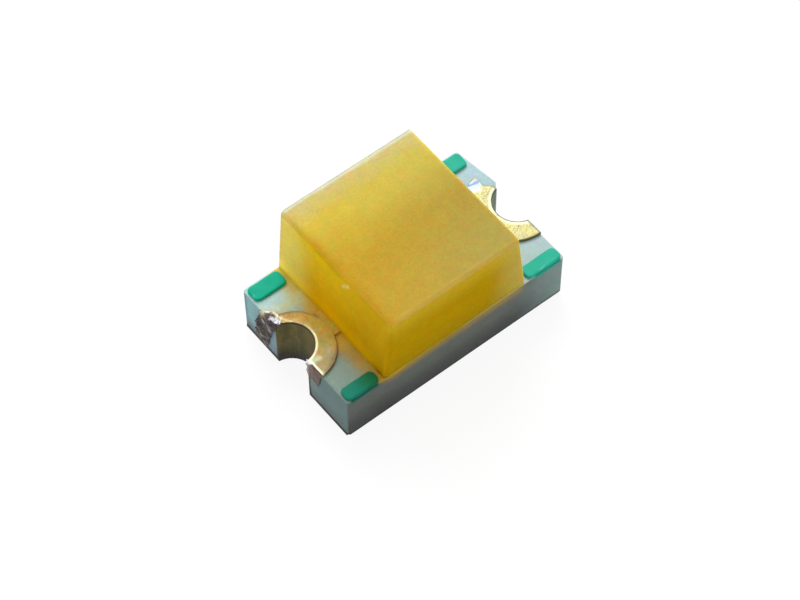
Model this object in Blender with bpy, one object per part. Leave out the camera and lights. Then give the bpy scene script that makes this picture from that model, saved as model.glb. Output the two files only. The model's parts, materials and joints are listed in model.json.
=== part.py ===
"""A chip LED in the 2.0 x 1.25 mm package: a moulded epoxy block on a small plated board.

The frame has its origin under the middle of the board, on the plane of the solder pads.
+X runs along the board and +Z is up. The near end, at -X, is the one with the torn plating,
and the front is the long side at -Y.
"""

import math

import bmesh
import bpy
from mathutils import Vector

MM = 0.001

# Pieces that touch or are bonded stand this far apart
CLEARANCE = 0.002 * MM

# Board, sawn from a panel of glass-filled laminate
BOARD_LENGTH = 2.00 * MM
BOARD_WIDTH = 1.25 * MM
BOARD_THICKNESS = 0.435 * MM
BOARD_CORNER_RADIUS = 0.025 * MM
# At the back the board is this much narrower than the block, and at the far end the saw left a
# wedge of laminate standing out beside the half hole
BOARD_BACK_SHORT = 0.013 * MM
WEDGE_REACH = 0.045 * MM
WEDGE_TIP_SHIFT = 0.045 * MM

# Copper of the two terminals, gold plated, with the walls of the plated holes
COPPER_THICKNESS = 0.020 * MM
HOLE_WALL = 0.018 * MM
HOLE_RADIUS = 0.183 * MM
HOLE_RIM_RADIUS = 0.008 * MM
# The saw ran this far short of the holes' centres, and the drill was off by a little sideways
HOLE_CENTRE_OUTSIDE = {"near": 0.026 * MM, "far": 0.045 * MM}
HOLE_OFF_CENTRE = {"near": 0.020 * MM, "far": -0.035 * MM}
LAND_RADIUS = {"near": 0.310 * MM, "far": 0.348 * MM}
LAND_OFF_CENTRE = {"near": -0.025 * MM, "far": -0.015 * MM}
# The saw tore this much of the land away at its back end, down to a narrow strip by the hole
LAND_TEAR = {"near": 0.0, "far": 0.055 * MM}
LAND_TEAR_STRIP = 0.030 * MM
LAND_EDGE_ROUNDING = 0.005 * MM
TRACE_WIDTH = 0.240 * MM
PAD_LENGTH = 0.450 * MM
PAD_SIDE_MARGIN = 0.025 * MM
PAD_CORNER_RADIUS = 0.040 * MM

# Where the chip sits, and the copper under it and under the far wire's end
DIE_PLACE_X = -0.060 * MM
DIE_PAD_LENGTH = 0.440 * MM
DIE_PAD_WIDTH = 0.420 * MM
DIE_PAD_SHIFT = -0.050 * MM
BOND_PAD_LENGTH = 0.200 * MM
BOND_PAD_WIDTH = 0.320 * MM
BOND_PAD_GAP = 0.150 * MM
INNER_CORNER_RADIUS = 0.030 * MM

# Chip, the glue under it and its two contacts
DIE_LENGTH = 0.300 * MM
DIE_WIDTH = 0.260 * MM
DIE_HEIGHT = 0.100 * MM
DIE_TOP_INSET = 0.006 * MM
GLUE_THICKNESS = 0.012 * MM
GLUE_SPREAD = 0.022 * MM
GLUE_CORNER_RADIUS = 0.030 * MM
CONTACT_RADIUS = 0.045 * MM
CONTACT_HEIGHT = 0.004 * MM
CONTACT_EDGE_DISTANCE = 0.062 * MM

# Gold wires, each from a ball on the chip to a flattened stitch on the copper
WIRE_RADIUS = 0.0125 * MM
BALL_RADIUS = 0.034 * MM
BALL_HEIGHT = 0.016 * MM
NECK_HEIGHT = 0.010 * MM
STITCH_WIDTH = 0.044 * MM
STITCH_HEIGHT = 0.010 * MM
STITCH_LENGTH = 0.050 * MM
LOOP_HEIGHT = 0.130 * MM
CATHODE_STITCH_DISTANCE = 0.080 * MM
ANODE_STITCH_INSET = 0.070 * MM

# Moulded block: drafted at the ends, sawn flush with the board along the sides
LENS_LENGTH = 1.300 * MM
LENS_HEIGHT = 0.630 * MM
LENS_END_DRAFT = {"near": 0.068 * MM, "far": 0.080 * MM}
LENS_SHIFT_X = -0.018 * MM
LENS_EDGE_RADIUS = 0.022 * MM

# Green solder mask: four marks on top and a T between the pads underneath
MARK_WIDTH = {"front": 0.118 * MM, "back": 0.142 * MM}
MARK_SIDE_GAP = {"front": 0.002 * MM, "back": 0.020 * MM}
MARK_END_GAP = 0.012 * MM
MARK_BLOCK_GAP = 0.032 * MM
MARK_THICKNESS = 0.028 * MM
MARK_CORNER_RADIUS = 0.040 * MM
MARK_EDGE_ROUNDING = 0.014 * MM
UNDER_MARK_THICKNESS = 0.012 * MM
UNDER_MARK_BAR = 0.110 * MM
UNDER_MARK_SPAN = 0.720 * MM
UNDER_MARK_STEM_WIDTH = 0.200 * MM
UNDER_MARK_PAD_GAP = 0.150 * MM
UNDER_MARK_CORNER_RADIUS = 0.020 * MM

# Plating that the saw tore and smeared over the near end of the board
SHRED_THICKNESS = COPPER_THICKNESS
SHRED_LAP = 0.060 * MM
SHRED_START = 0.214 * MM
SHRED_WIDTH = 0.168 * MM
SHRED_TIP_SHIFT = 0.140 * MM
SHRED_TIP_WIDTH = 0.150 * MM
SHRED_DROP = 0.395 * MM
SHRED_CRUMPLE = 0.012 * MM
SMEAR_THICKNESS = 0.010 * MM
SMEAR_START = -0.345 * MM
SMEAR_WIDTH = 0.180 * MM
SMEAR_TIP_SHIFT = 0.030 * MM
SMEAR_TIP_WIDTH = 0.130 * MM
SMEAR_DROP = 0.245 * MM
SMEAR_CRUMPLE = 0.002 * MM

# Fineness of the curves
HOLE_STEPS = 40
CORNER_STEPS = 4
RIM_STEPS = 4
WIRE_STEPS = 14
WIRE_SIDES = 10
CONTACT_SIDES = 20
SCRAP_COLUMNS = 10
SCRAP_ROWS = 9
LAP_ROWS = 3

# Levels, from the solder pads up
PAD_TOP = COPPER_THICKNESS
BOARD_BOTTOM = PAD_TOP + CLEARANCE
BOARD_TOP = BOARD_BOTTOM + BOARD_THICKNESS
LAND_BOTTOM = BOARD_TOP + CLEARANCE
LAND_TOP = LAND_BOTTOM + COPPER_THICKNESS
GLUE_BOTTOM = LAND_TOP + CLEARANCE
GLUE_TOP = GLUE_BOTTOM + GLUE_THICKNESS
DIE_BOTTOM = GLUE_TOP + CLEARANCE
DIE_TOP = DIE_BOTTOM + DIE_HEIGHT
CONTACT_BOTTOM = DIE_TOP + CLEARANCE
CONTACT_TOP = CONTACT_BOTTOM + CONTACT_HEIGHT
LENS_BOTTOM = BOARD_TOP + CLEARANCE
LENS_TOP = LENS_BOTTOM + LENS_HEIGHT

# Places along the board
END_X = {"near": -BOARD_LENGTH / 2, "far": BOARD_LENGTH / 2}
INWARD = {"near": 1, "far": -1}
SIDE_Y = {"front": -BOARD_WIDTH / 2, "back": BOARD_WIDTH / 2 - BOARD_BACK_SHORT}
LENS_BASE_X = {"near": LENS_SHIFT_X - LENS_LENGTH / 2, "far": LENS_SHIFT_X + LENS_LENGTH / 2}
DIE_PAD_X = DIE_PLACE_X + DIE_PAD_SHIFT
DIE_PAD_START = DIE_PAD_X - DIE_PAD_LENGTH / 2
DIE_PAD_END = DIE_PAD_X + DIE_PAD_LENGTH / 2
BOND_PAD_START = DIE_PAD_END + BOND_PAD_GAP
BOND_PAD_END = BOND_PAD_START + BOND_PAD_LENGTH
CONTACT_X = DIE_LENGTH / 2 - CONTACT_EDGE_DISTANCE
CONTACT_Y = DIE_WIDTH / 2 - CONTACT_EDGE_DISTANCE


def clear_scene():
    for thing in list(bpy.data.objects):
        bpy.data.objects.remove(thing, do_unlink=True)


def make_material(name, colour, roughness, metallic=0.0):
    material = bpy.data.materials.new(name)
    material.use_nodes = True
    shader = material.node_tree.nodes["Principled BSDF"]
    shader.inputs["Base Color"].default_value = (*colour, 1.0)
    shader.inputs["Roughness"].default_value = roughness
    shader.inputs["Metallic"].default_value = metallic
    return material


def add_object(name, mesh_in_progress, material=None):
    """Turn a bmesh into an object, with its seams welded and its faces pointing out."""
    bmesh.ops.remove_doubles(mesh_in_progress, verts=mesh_in_progress.verts, dist=CLEARANCE / 1000)
    bmesh.ops.recalc_face_normals(mesh_in_progress, faces=mesh_in_progress.faces)
    mesh = bpy.data.meshes.new(name)
    mesh_in_progress.to_mesh(mesh)
    mesh_in_progress.free()
    mesh.shade_smooth()
    mesh.set_sharp_from_angle(angle=math.radians(35))
    thing = bpy.data.objects.new(name, mesh)
    bpy.context.scene.collection.objects.link(thing)
    if material:
        mesh.materials.append(material)
    return thing


def make_guide(thing):
    """A cutter stays in the scene as a wireframe and is no part of the product."""
    thing.hide_render = True
    thing.display_type = "WIRE"
    return thing


def cut_with(body, cutter):
    modifier = body.modifiers.new("room for " + cutter.name, "BOOLEAN")
    modifier.operation = "DIFFERENCE"
    modifier.solver = "EXACT"
    modifier.object = make_guide(cutter)


def arc(centre_x, centre_y, radius, start_degrees, end_degrees, steps):
    """Points on an arc, with both of its ends."""
    points = []
    for step in range(steps + 1):
        angle = math.radians(start_degrees + (end_degrees - start_degrees) * step / steps)
        points.append((centre_x + radius * math.cos(angle), centre_y + radius * math.sin(angle)))
    return points


def rounded_rectangle(x0, x1, y0, y1, radius):
    """A rectangle's outline with four rounded corners, anticlockwise."""
    radius = min(radius, 0.499 * (x1 - x0), 0.499 * (y1 - y0))
    points = arc(x1 - radius, y0 + radius, radius, -90, 0, CORNER_STEPS)
    points += arc(x1 - radius, y1 - radius, radius, 0, 90, CORNER_STEPS)
    points += arc(x0 + radius, y1 - radius, radius, 90, 180, CORNER_STEPS)
    points += arc(x0 + radius, y0 + radius, radius, 180, 270, CORNER_STEPS)
    return points


def strip(work, lower, upper, closed=False):
    """Faces between two rows of points that hold as many points each."""
    count = len(lower)
    low = [work.verts.new(point) for point in lower]
    high = [work.verts.new(point) for point in upper]
    for index in range(count if closed else count - 1):
        following = (index + 1) % count
        work.faces.new((low[index], low[following], high[following], high[index]))


def flat_face(work, points):
    work.faces.new([work.verts.new(point) for point in points])


def at_height(outline, z):
    return [(x, y, z) for x, y in outline]


def extrude_outline(work, outline, z0, z1):
    flat_face(work, at_height(outline, z0))
    flat_face(work, at_height(outline, z1))
    strip(work, at_height(outline, z0), at_height(outline, z1), closed=True)


def plate(name, outline, z0, z1, material=None):
    work = bmesh.new()
    extrude_outline(work, outline, z0, z1)
    return add_object(name, work, material)


def hole_arc(end, radius):
    """The part of a circle round a hole's centre that the saw left on the board."""
    outside = INWARD[end] * HOLE_CENTRE_OUTSIDE[end]
    reach = math.acos(min(abs(outside) / radius, 1.0))
    points = []
    for step in range(HOLE_STEPS + 1):
        angle = reach * (2 * step / HOLE_STEPS - 1)
        x = END_X[end] - outside + INWARD[end] * radius * math.cos(angle)
        y = HOLE_OFF_CENTRE[end] + radius * math.sin(angle)
        points.append((x, y))
    points[0] = (END_X[end], points[0][1])
    points[-1] = (END_X[end], points[-1][1])
    return points


def inner_copper(end, grow):
    """Inner end, half width and half width of trace of the copper under the block."""
    if end == "near":
        return DIE_PAD_START - grow, DIE_PAD_END + grow, DIE_PAD_WIDTH / 2 + grow
    return BOND_PAD_END + grow, BOND_PAD_START - grow, BOND_PAD_WIDTH / 2 + grow


def land_outline(end, grow=0.0):
    """The land's outer edge, from the board's end at -Y round to the board's end at +Y."""
    middle = LAND_OFF_CENTRE[end]
    radius = LAND_RADIUS[end] + grow
    half_trace = TRACE_WIDTH / 2 + grow
    corner = INNER_CORNER_RADIUS
    front_join = math.degrees(math.asin((half_trace + middle) / radius))
    back_join = math.degrees(math.asin((half_trace - middle) / radius))
    back_stop = math.degrees(math.acos(LAND_TEAR[end] / radius))
    pad_start, pad_end, half_pad = inner_copper(end, grow)
    run = abs(pad_start - END_X[end])
    stop = abs(pad_end - END_X[end])
    side = [(run, -half_trace)]
    side += arc(run + corner, -half_pad + corner, corner, -180, -90, CORNER_STEPS)
    side += arc(stop - corner, -half_pad + corner, corner, -90, 0, CORNER_STEPS)
    outline = arc(0, middle, radius, -90, -front_join, HOLE_STEPS // 2)
    outline += side + [(x, -y) for x, y in reversed(side)]
    outline += arc(0, middle, radius, back_join, back_stop, HOLE_STEPS // 2)
    if LAND_TEAR[end]:
        left_over = HOLE_OFF_CENTRE[end] + HOLE_RADIUS + LAND_TEAR_STRIP + grow
        outline += [(LAND_TEAR[end], left_over + 0.8 * LAND_TEAR[end]), (0.0, left_over)]
    return [(END_X[end] + INWARD[end] * x, y) for x, y in outline]


def pad_outline(end):
    """The solder pad's edge, from the board's end at -Y round to the board's end at +Y."""
    half_width = BOARD_WIDTH / 2 - PAD_SIDE_MARGIN
    corner = PAD_CORNER_RADIUS
    half = [(0.0, -half_width)] + arc(PAD_LENGTH - corner, corner - half_width, corner, -90, 0, CORNER_STEPS)
    outline = half + [(x, -y) for x, y in reversed(half)]
    return [(END_X[end] + INWARD[end] * x, y) for x, y in outline]


def hole_profile():
    """Radius and height down the wall of a plated hole, with its rolled rims."""
    rim = HOLE_RIM_RADIUS
    top = arc(HOLE_RADIUS + rim, LAND_TOP - rim, rim, 90, 180, RIM_STEPS)
    bottom = arc(HOLE_RADIUS + rim, rim, rim, 180, 270, RIM_STEPS)
    return top + bottom


def make_terminal(name, end, material):
    """Solder pad, plated half hole and land with its trace, all one piece of copper."""
    work = bmesh.new()
    land = land_outline(end)
    pad = pad_outline(end)
    wall = hole_profile()
    rings = [at_height(hole_arc(end, radius), z) for radius, z in wall]
    back_radius = HOLE_RADIUS + HOLE_WALL
    back_high = at_height(hole_arc(end, back_radius), LAND_BOTTOM)
    back_low = at_height(hole_arc(end, back_radius), PAD_TOP)
    flat_face(work, at_height(land, LAND_TOP) + rings[0][::-1])
    strip(work, at_height(land, LAND_BOTTOM), at_height(land, LAND_TOP))
    flat_face(work, at_height(land, LAND_BOTTOM) + back_high[::-1])
    strip(work, back_low, back_high)
    flat_face(work, at_height(pad, PAD_TOP) + back_low[::-1])
    strip(work, at_height(pad, 0.0), at_height(pad, PAD_TOP))
    flat_face(work, at_height(pad, 0.0) + rings[-1][::-1])
    for upper, lower in zip(rings, rings[1:]):
        strip(work, lower, upper)
    # The two sawn faces, on either side of the half hole
    for tip in (0, -1):
        section = [(*land[tip], LAND_TOP), (*land[tip], LAND_BOTTOM), back_high[tip], back_low[tip]]
        section += [(*pad[tip], PAD_TOP), (*pad[tip], 0.0)]
        section += [ring[tip] for ring in reversed(rings)]
        flat_face(work, section)
    bmesh.ops.remove_doubles(work, verts=work.verts, dist=CLEARANCE / 1000)
    round_land_edge(work, end)
    return add_object(name, work, material)


def round_land_edge(work, end):
    """Round the upper edge of the land and its trace, which etching leaves soft."""
    slack = CLEARANCE / 10
    hole_centre = Vector((END_X[end] - INWARD[end] * HOLE_CENTRE_OUTSIDE[end], HOLE_OFF_CENTRE[end]))
    hole_reach = HOLE_RADIUS + HOLE_RIM_RADIUS + slack
    rim = []
    for edge in work.edges:
        on_top = all(abs(v.co.z - LAND_TOP) < slack for v in edge.verts)
        on_saw_cut = all(abs(v.co.x - END_X[end]) < slack for v in edge.verts)
        on_hole = all((v.co.xy - hole_centre).length < hole_reach for v in edge.verts)
        if on_top and not on_saw_cut and not on_hole:
            rim.append(edge)
    bmesh.ops.bevel(work, geom=rim, offset=LAND_EDGE_ROUNDING, segments=2, profile=0.5, affect="EDGES")


def make_board(material):
    """The laminate: a sawn rectangle with half a drilled hole in each end, and the saw's wedge."""
    drilled = HOLE_RADIUS + HOLE_WALL + CLEARANCE
    corner = BOARD_CORNER_RADIUS
    x0, x1 = END_X["near"], END_X["far"]
    y0, y1 = SIDE_Y["front"], SIDE_Y["back"]
    far_hole = hole_arc("far", drilled)
    wedge_tip = (x1 + WEDGE_REACH, far_hole[-1][1] + WEDGE_TIP_SHIFT)
    outline = arc(x0 + corner, y0 + corner, corner, 180, 270, CORNER_STEPS)
    outline += arc(x1 - corner, y0 + corner, corner, 270, 360, CORNER_STEPS)
    outline += far_hole + [wedge_tip]
    outline += arc(x1 - corner, y1 - corner, corner, 0, 90, CORNER_STEPS)
    outline += arc(x0 + corner, y1 - corner, corner, 90, 180, CORNER_STEPS)
    outline += hole_arc("near", drilled)[::-1]
    return plate("board", outline, BOARD_BOTTOM, BOARD_TOP, material)


def lens_profile():
    """The block seen from the side: drafted ends and small radii where the mould closed."""
    radius = LENS_EDGE_RADIUS
    half = {}
    for end in ("near", "far"):
        lean = math.degrees(math.atan2(LENS_END_DRAFT[end], LENS_HEIGHT))
        setback = radius * math.tan(math.radians((90 - lean) / 2))
        reach = LENS_LENGTH / 2 - LENS_END_DRAFT[end] - setback
        corner = arc(reach, LENS_TOP - radius, radius, lean, 90, CORNER_STEPS)
        half[end] = [(LENS_LENGTH / 2, LENS_BOTTOM)] + corner
    outline = half["far"] + [(-x, z) for x, z in reversed(half["near"])]
    return [(LENS_SHIFT_X + x, z) for x, z in outline]


def make_lens(material):
    """The moulded block, cut back where the copper, the chip and the wires are."""
    work = bmesh.new()
    outline = lens_profile()
    low = [(x, -BOARD_WIDTH / 2, z) for x, z in outline]
    high = [(x, BOARD_WIDTH / 2, z) for x, z in outline]
    flat_face(work, low)
    flat_face(work, high)
    strip(work, low, high, closed=True)
    lens = add_object("lens_block", work, material)
    under = BOARD_TOP - CLEARANCE
    for end in ("near", "far"):
        whole = land_outline(end, CLEARANCE)
        cut_with(lens, plate(end + "_copper_room", whole, under, LAND_TOP + CLEARANCE))
    glue = glue_outline(CLEARANCE)
    cut_with(lens, plate("glue_room", glue, LAND_TOP, GLUE_TOP + CLEARANCE))
    die = die_outline(CLEARANCE)
    cut_with(lens, plate("die_room", die, GLUE_TOP, CONTACT_TOP + CLEARANCE))
    cut_with(lens, make_wire("cathode_wire_room", "cathode", grow=CLEARANCE))
    cut_with(lens, make_wire("anode_wire_room", "anode", grow=CLEARANCE))
    return lens


def die_outline(grow=0.0):
    half_length = DIE_LENGTH / 2 + grow
    half_width = DIE_WIDTH / 2 + grow
    x0, x1 = DIE_PLACE_X - half_length, DIE_PLACE_X + half_length
    return [(x0, -half_width), (x1, -half_width), (x1, half_width), (x0, half_width)]


def glue_outline(grow=0.0):
    half_length = DIE_LENGTH / 2 + GLUE_SPREAD + grow
    half_width = DIE_WIDTH / 2 + GLUE_SPREAD + grow
    x0, x1 = DIE_PLACE_X - half_length, DIE_PLACE_X + half_length
    return rounded_rectangle(x0, x1, -half_width, half_width, GLUE_CORNER_RADIUS + grow)


def make_die(material):
    """The sapphire chip, a little narrower at its top, where it was scribed and broken."""
    work = bmesh.new()
    low = at_height(die_outline(), DIE_BOTTOM)
    high = at_height(die_outline(-DIE_TOP_INSET), DIE_TOP)
    flat_face(work, low)
    flat_face(work, high)
    strip(work, low, high, closed=True)
    return add_object("led_die", work, material)


def contact_place(pole):
    sign = -1 if pole == "cathode" else 1
    return DIE_PLACE_X + sign * CONTACT_X, sign * CONTACT_Y


def make_contact(name, pole, material):
    x, y = contact_place(pole)
    outline = arc(x, y, CONTACT_RADIUS, 0, 360, CONTACT_SIDES)[:-1]
    return plate(name, outline, CONTACT_BOTTOM, CONTACT_TOP, material)


def bezier(p0, p1, p2, p3, t):
    back = 1 - t
    return p0 * back**3 + p1 * (3 * back * back * t) + p2 * (3 * back * t * t) + p3 * t**3


def wire_stations(pole, grow):
    """Places along a wire, each with its half width and half height."""
    sign = -1 if pole == "cathode" else 1
    x, y = contact_place(pole)
    foot = CONTACT_TOP + CLEARANCE - 2 * grow
    ball_top = CONTACT_TOP + CLEARANCE + BALL_HEIGHT
    radius = WIRE_RADIUS + grow
    ball = BALL_RADIUS + grow
    stations = [
        (Vector((x, y, foot)), 0.8 * ball, 0.8 * ball),
        (Vector((x, y, foot + 0.3 * BALL_HEIGHT)), ball, ball),
        (Vector((x, y, ball_top - 0.3 * BALL_HEIGHT)), ball, ball),
        (Vector((x, y, ball_top)), 0.6 * ball, 0.6 * ball),
    ]
    if pole == "cathode":
        stitch_x = DIE_PLACE_X - DIE_LENGTH / 2 - CATHODE_STITCH_DISTANCE
    else:
        stitch_x = BOND_PAD_START + ANODE_STITCH_INSET
    neck = Vector((x, y, ball_top + NECK_HEIGHT))
    floor = LAND_TOP + CLEARANCE
    landing = Vector((stitch_x, y, floor + WIRE_RADIUS))
    rise = neck + Vector((0, 0, LOOP_HEIGHT))
    span = abs(stitch_x - x)
    approach = landing + Vector((-sign * 0.30 * span, 0, 0.75 * LOOP_HEIGHT))
    for step in range(WIRE_STEPS + 1):
        place = bezier(neck, rise, approach, landing, step / WIRE_STEPS)
        stations.append((place, radius, radius))
    stitch_half = STITCH_HEIGHT / 2
    for share, flat in ((0.4, 0.6), (1.0, 1.0)):
        height = WIRE_RADIUS + (stitch_half - WIRE_RADIUS) * flat
        width = WIRE_RADIUS + (STITCH_WIDTH / 2 - WIRE_RADIUS) * flat
        place = Vector((stitch_x + sign * STITCH_LENGTH * share, y, floor + height))
        stations.append((place, width + grow, height + grow))
    return stations


def make_wire(name, pole, material=None, grow=0.0):
    """A round wire swept along its loop, which stays in one upright plane."""
    work = bmesh.new()
    stations = wire_stations(pole, grow)
    places = [place for place, width, height in stations]
    rings = []
    for index, (place, width, height) in enumerate(stations):
        before = places[max(index - 1, 0)]
        after = places[min(index + 1, len(places) - 1)]
        along = (after - before).normalized()
        if index == len(stations) - 1:
            along = Vector((math.copysign(1, along.x), 0, 0))
        across = Vector((0, 1, 0))
        up = along.cross(across)
        ring = []
        for side in range(WIRE_SIDES):
            angle = math.tau * side / WIRE_SIDES
            ring.append(place + across * (width * math.cos(angle)) + up * (height * math.sin(angle)))
        rings.append(ring)
    flat_face(work, rings[0])
    flat_face(work, rings[-1])
    for lower, upper in zip(rings, rings[1:]):
        strip(work, lower, upper, closed=True)
    return add_object(name, work, material)


def mark_ring(end, side, inset, z):
    """A mark's outline at one height, drawn in by its inset."""
    out_x = -INWARD[end]
    out_y = math.copysign(1, SIDE_Y[side])
    outer_x = END_X[end] - out_x * (MARK_END_GAP + inset)
    inner_x = LENS_BASE_X[end] + out_x * (MARK_BLOCK_GAP + inset)
    outer_y = SIDE_Y[side] - out_y * (MARK_SIDE_GAP[side] + inset)
    inner_y = SIDE_Y[side] - out_y * (MARK_SIDE_GAP[side] + MARK_WIDTH[side] - inset)
    x0, x1 = sorted((outer_x, inner_x))
    y0, y1 = sorted((outer_y, inner_y))
    return at_height(rounded_rectangle(x0, x1, y0, y1, MARK_CORNER_RADIUS - inset), z)


def make_mark(name, end, side, material):
    """A dab of solder mask beside the block, with a domed edge."""
    work = bmesh.new()
    bottom = BOARD_TOP + CLEARANCE
    shoulder = bottom + MARK_THICKNESS - MARK_EDGE_ROUNDING
    rings = [mark_ring(end, side, 0.0, bottom)]
    for inward, upward in arc(0, 0, MARK_EDGE_ROUNDING, 0, 90, RIM_STEPS):
        rings.append(mark_ring(end, side, MARK_EDGE_ROUNDING - inward, shoulder + upward))
    flat_face(work, rings[0])
    flat_face(work, rings[-1])
    for lower, upper in zip(rings, rings[1:]):
        strip(work, lower, upper, closed=True)
    return add_object(name, work, material)


def make_under_mark(material):
    """The T of solder mask between the pads, which tells one end from the other."""
    pad_edge = BOARD_LENGTH / 2 - PAD_LENGTH
    bar_start = -pad_edge + UNDER_MARK_PAD_GAP
    bar_end = bar_start + UNDER_MARK_BAR
    stem_end = pad_edge - UNDER_MARK_PAD_GAP
    half_span = UNDER_MARK_SPAN / 2
    half_stem = UNDER_MARK_STEM_WIDTH / 2
    radius = UNDER_MARK_CORNER_RADIUS
    half = arc(bar_start + radius, radius - half_span, radius, 180, 270, CORNER_STEPS)
    half += arc(bar_end - radius, radius - half_span, radius, 270, 360, CORNER_STEPS)
    half += [(bar_end, -half_stem)]
    half += arc(stem_end - radius, radius - half_stem, radius, 270, 360, CORNER_STEPS)
    outline = half + [(x, -y) for x, y in reversed(half)]
    top = BOARD_BOTTOM - CLEARANCE
    return plate("underside_mask", outline, top - UNDER_MARK_THICKNESS, top, material)


def scrap_rows(lap):
    """Rows along a scrap: how far down the end face, how far in on the land, and which way is out."""
    rows = []
    if lap:
        rows += [(0.0, lap * (1 - step / LAP_ROWS), 90) for step in range(LAP_ROWS)]
        rows += [(0.0, 0.0, 120), (0.0, 0.0, 150)]
    rows += [(row / SCRAP_ROWS, 0.0, 180) for row in range(SCRAP_ROWS + 1)]
    return rows


def hang_scrap(name, material, thickness, lap, start, width, tip_shift, tip_width, drop, crumple):
    """A crumpled scrap of plating, from the land's sawn edge down over the near end face."""
    work = bmesh.new()
    inner, outer = [], []
    rows = scrap_rows(lap)
    for index, (down, inboard, out_degrees) in enumerate(rows):
        along = index / (len(rows) - 1)
        out_x = math.cos(math.radians(out_degrees))
        out_z = math.sin(math.radians(out_degrees))
        centre = start + width / 2 + tip_shift * down
        half = (width + (tip_width - width) * down) / 2
        inner_row, outer_row = [], []
        for step in range(SCRAP_COLUMNS + 1):
            across = 2 * step / SCRAP_COLUMNS - 1
            ragged = 1 + 0.07 * math.sin(4.2 * across + 0.6) - 0.10 * across**2
            wave = 1 + math.sin(5.3 * across + 3.1 * down) * math.cos(4.1 * along - 1.7 * across)
            stand_off = crumple * wave * (0.3 + math.sin(math.pi * along))
            x = END_X["near"] + inboard * ragged
            y = centre + half * across
            z = LAND_TOP - drop * down * ragged
            inside = CLEARANCE + 0.5 * stand_off
            outside = CLEARANCE + thickness + stand_off
            inner_row.append((x + out_x * inside, y, z + out_z * inside))
            outer_row.append((x + out_x * outside, y, z + out_z * outside))
        inner.append(inner_row)
        outer.append(outer_row)
    for sheet in (inner, outer):
        for lower, upper in zip(sheet, sheet[1:]):
            strip(work, lower, upper)
    strip(work, inner[0], outer[0])
    strip(work, inner[-1], outer[-1])
    for edge in (0, -1):
        strip(work, [row[edge] for row in inner], [row[edge] for row in outer])
    return add_object(name, work, material)


def make_torn_plating(torn, smeared):
    """The shred at one end of the near land's ring, and the smear at its other end."""
    hang_scrap(
        "torn_plating_shred",
        torn,
        SHRED_THICKNESS,
        SHRED_LAP,
        SHRED_START,
        SHRED_WIDTH,
        SHRED_TIP_SHIFT,
        SHRED_TIP_WIDTH,
        SHRED_DROP,
        SHRED_CRUMPLE,
    )
    hang_scrap(
        "saw_smear",
        smeared,
        SMEAR_THICKNESS,
        0.0,
        SMEAR_START,
        SMEAR_WIDTH,
        SMEAR_TIP_SHIFT,
        SMEAR_TIP_WIDTH,
        SMEAR_DROP,
        SMEAR_CRUMPLE,
    )


def build():
    clear_scene()
    laminate = make_material("pale_laminate", (0.62, 0.68, 0.68), 0.5)
    near_gold = make_material("worn_gold_plating", (0.55, 0.40, 0.17), 0.3, 1.0)
    far_gold = make_material("bright_gold_plating", (0.85, 0.68, 0.32), 0.3, 1.0)
    epoxy = make_material("phosphor_epoxy", (0.72, 0.47, 0.06), 0.45)
    mask = make_material("green_solder_mask", (0.04, 0.48, 0.36), 0.25)
    sapphire = make_material("blue_chip", (0.35, 0.45, 0.75), 0.1)
    glue = make_material("silver_glue", (0.75, 0.75, 0.73), 0.5, 0.6)
    contact = make_material("chip_contact_gold", (0.90, 0.70, 0.35), 0.25, 1.0)
    wire = make_material("bond_wire_gold", (0.95, 0.75, 0.35), 0.15, 1.0)
    torn = make_material("torn_plating", (0.30, 0.24, 0.18), 0.35, 0.8)
    smeared = make_material("smeared_plating", (0.33, 0.24, 0.20), 0.4, 0.6)

    make_board(laminate)
    make_terminal("cathode_terminal", "near", near_gold)
    make_terminal("anode_terminal", "far", far_gold)
    make_lens(epoxy)
    plate("die_glue", glue_outline(), GLUE_BOTTOM, GLUE_TOP, glue)
    make_die(sapphire)
    make_contact("cathode_contact", "cathode", contact)
    make_contact("anode_contact", "anode", contact)
    make_wire("cathode_wire", "cathode", wire)
    make_wire("anode_wire", "anode", wire)
    for end in ("near", "far"):
        for side in ("front", "back"):
            make_mark(f"solder_mask_mark_{end}_{side}", end, side, mask)
    make_under_mark(mask)
    make_torn_plating(torn, smeared)


build()
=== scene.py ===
# %% [markdown]
# # A chip LED, two millimetres long
#
# This lesson dresses a packed model of a surface-mount LED. The packed model is the fixed frame:
# it holds every piece at its real size and place, in metres. Nothing below moves it. Some of its
# pieces get a better material, and others are stood for by a finer mesh.

# %% Load the frame
import json
import math
from dataclasses import dataclass

import bmesh
import bpy
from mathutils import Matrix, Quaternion, Vector, noise

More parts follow.
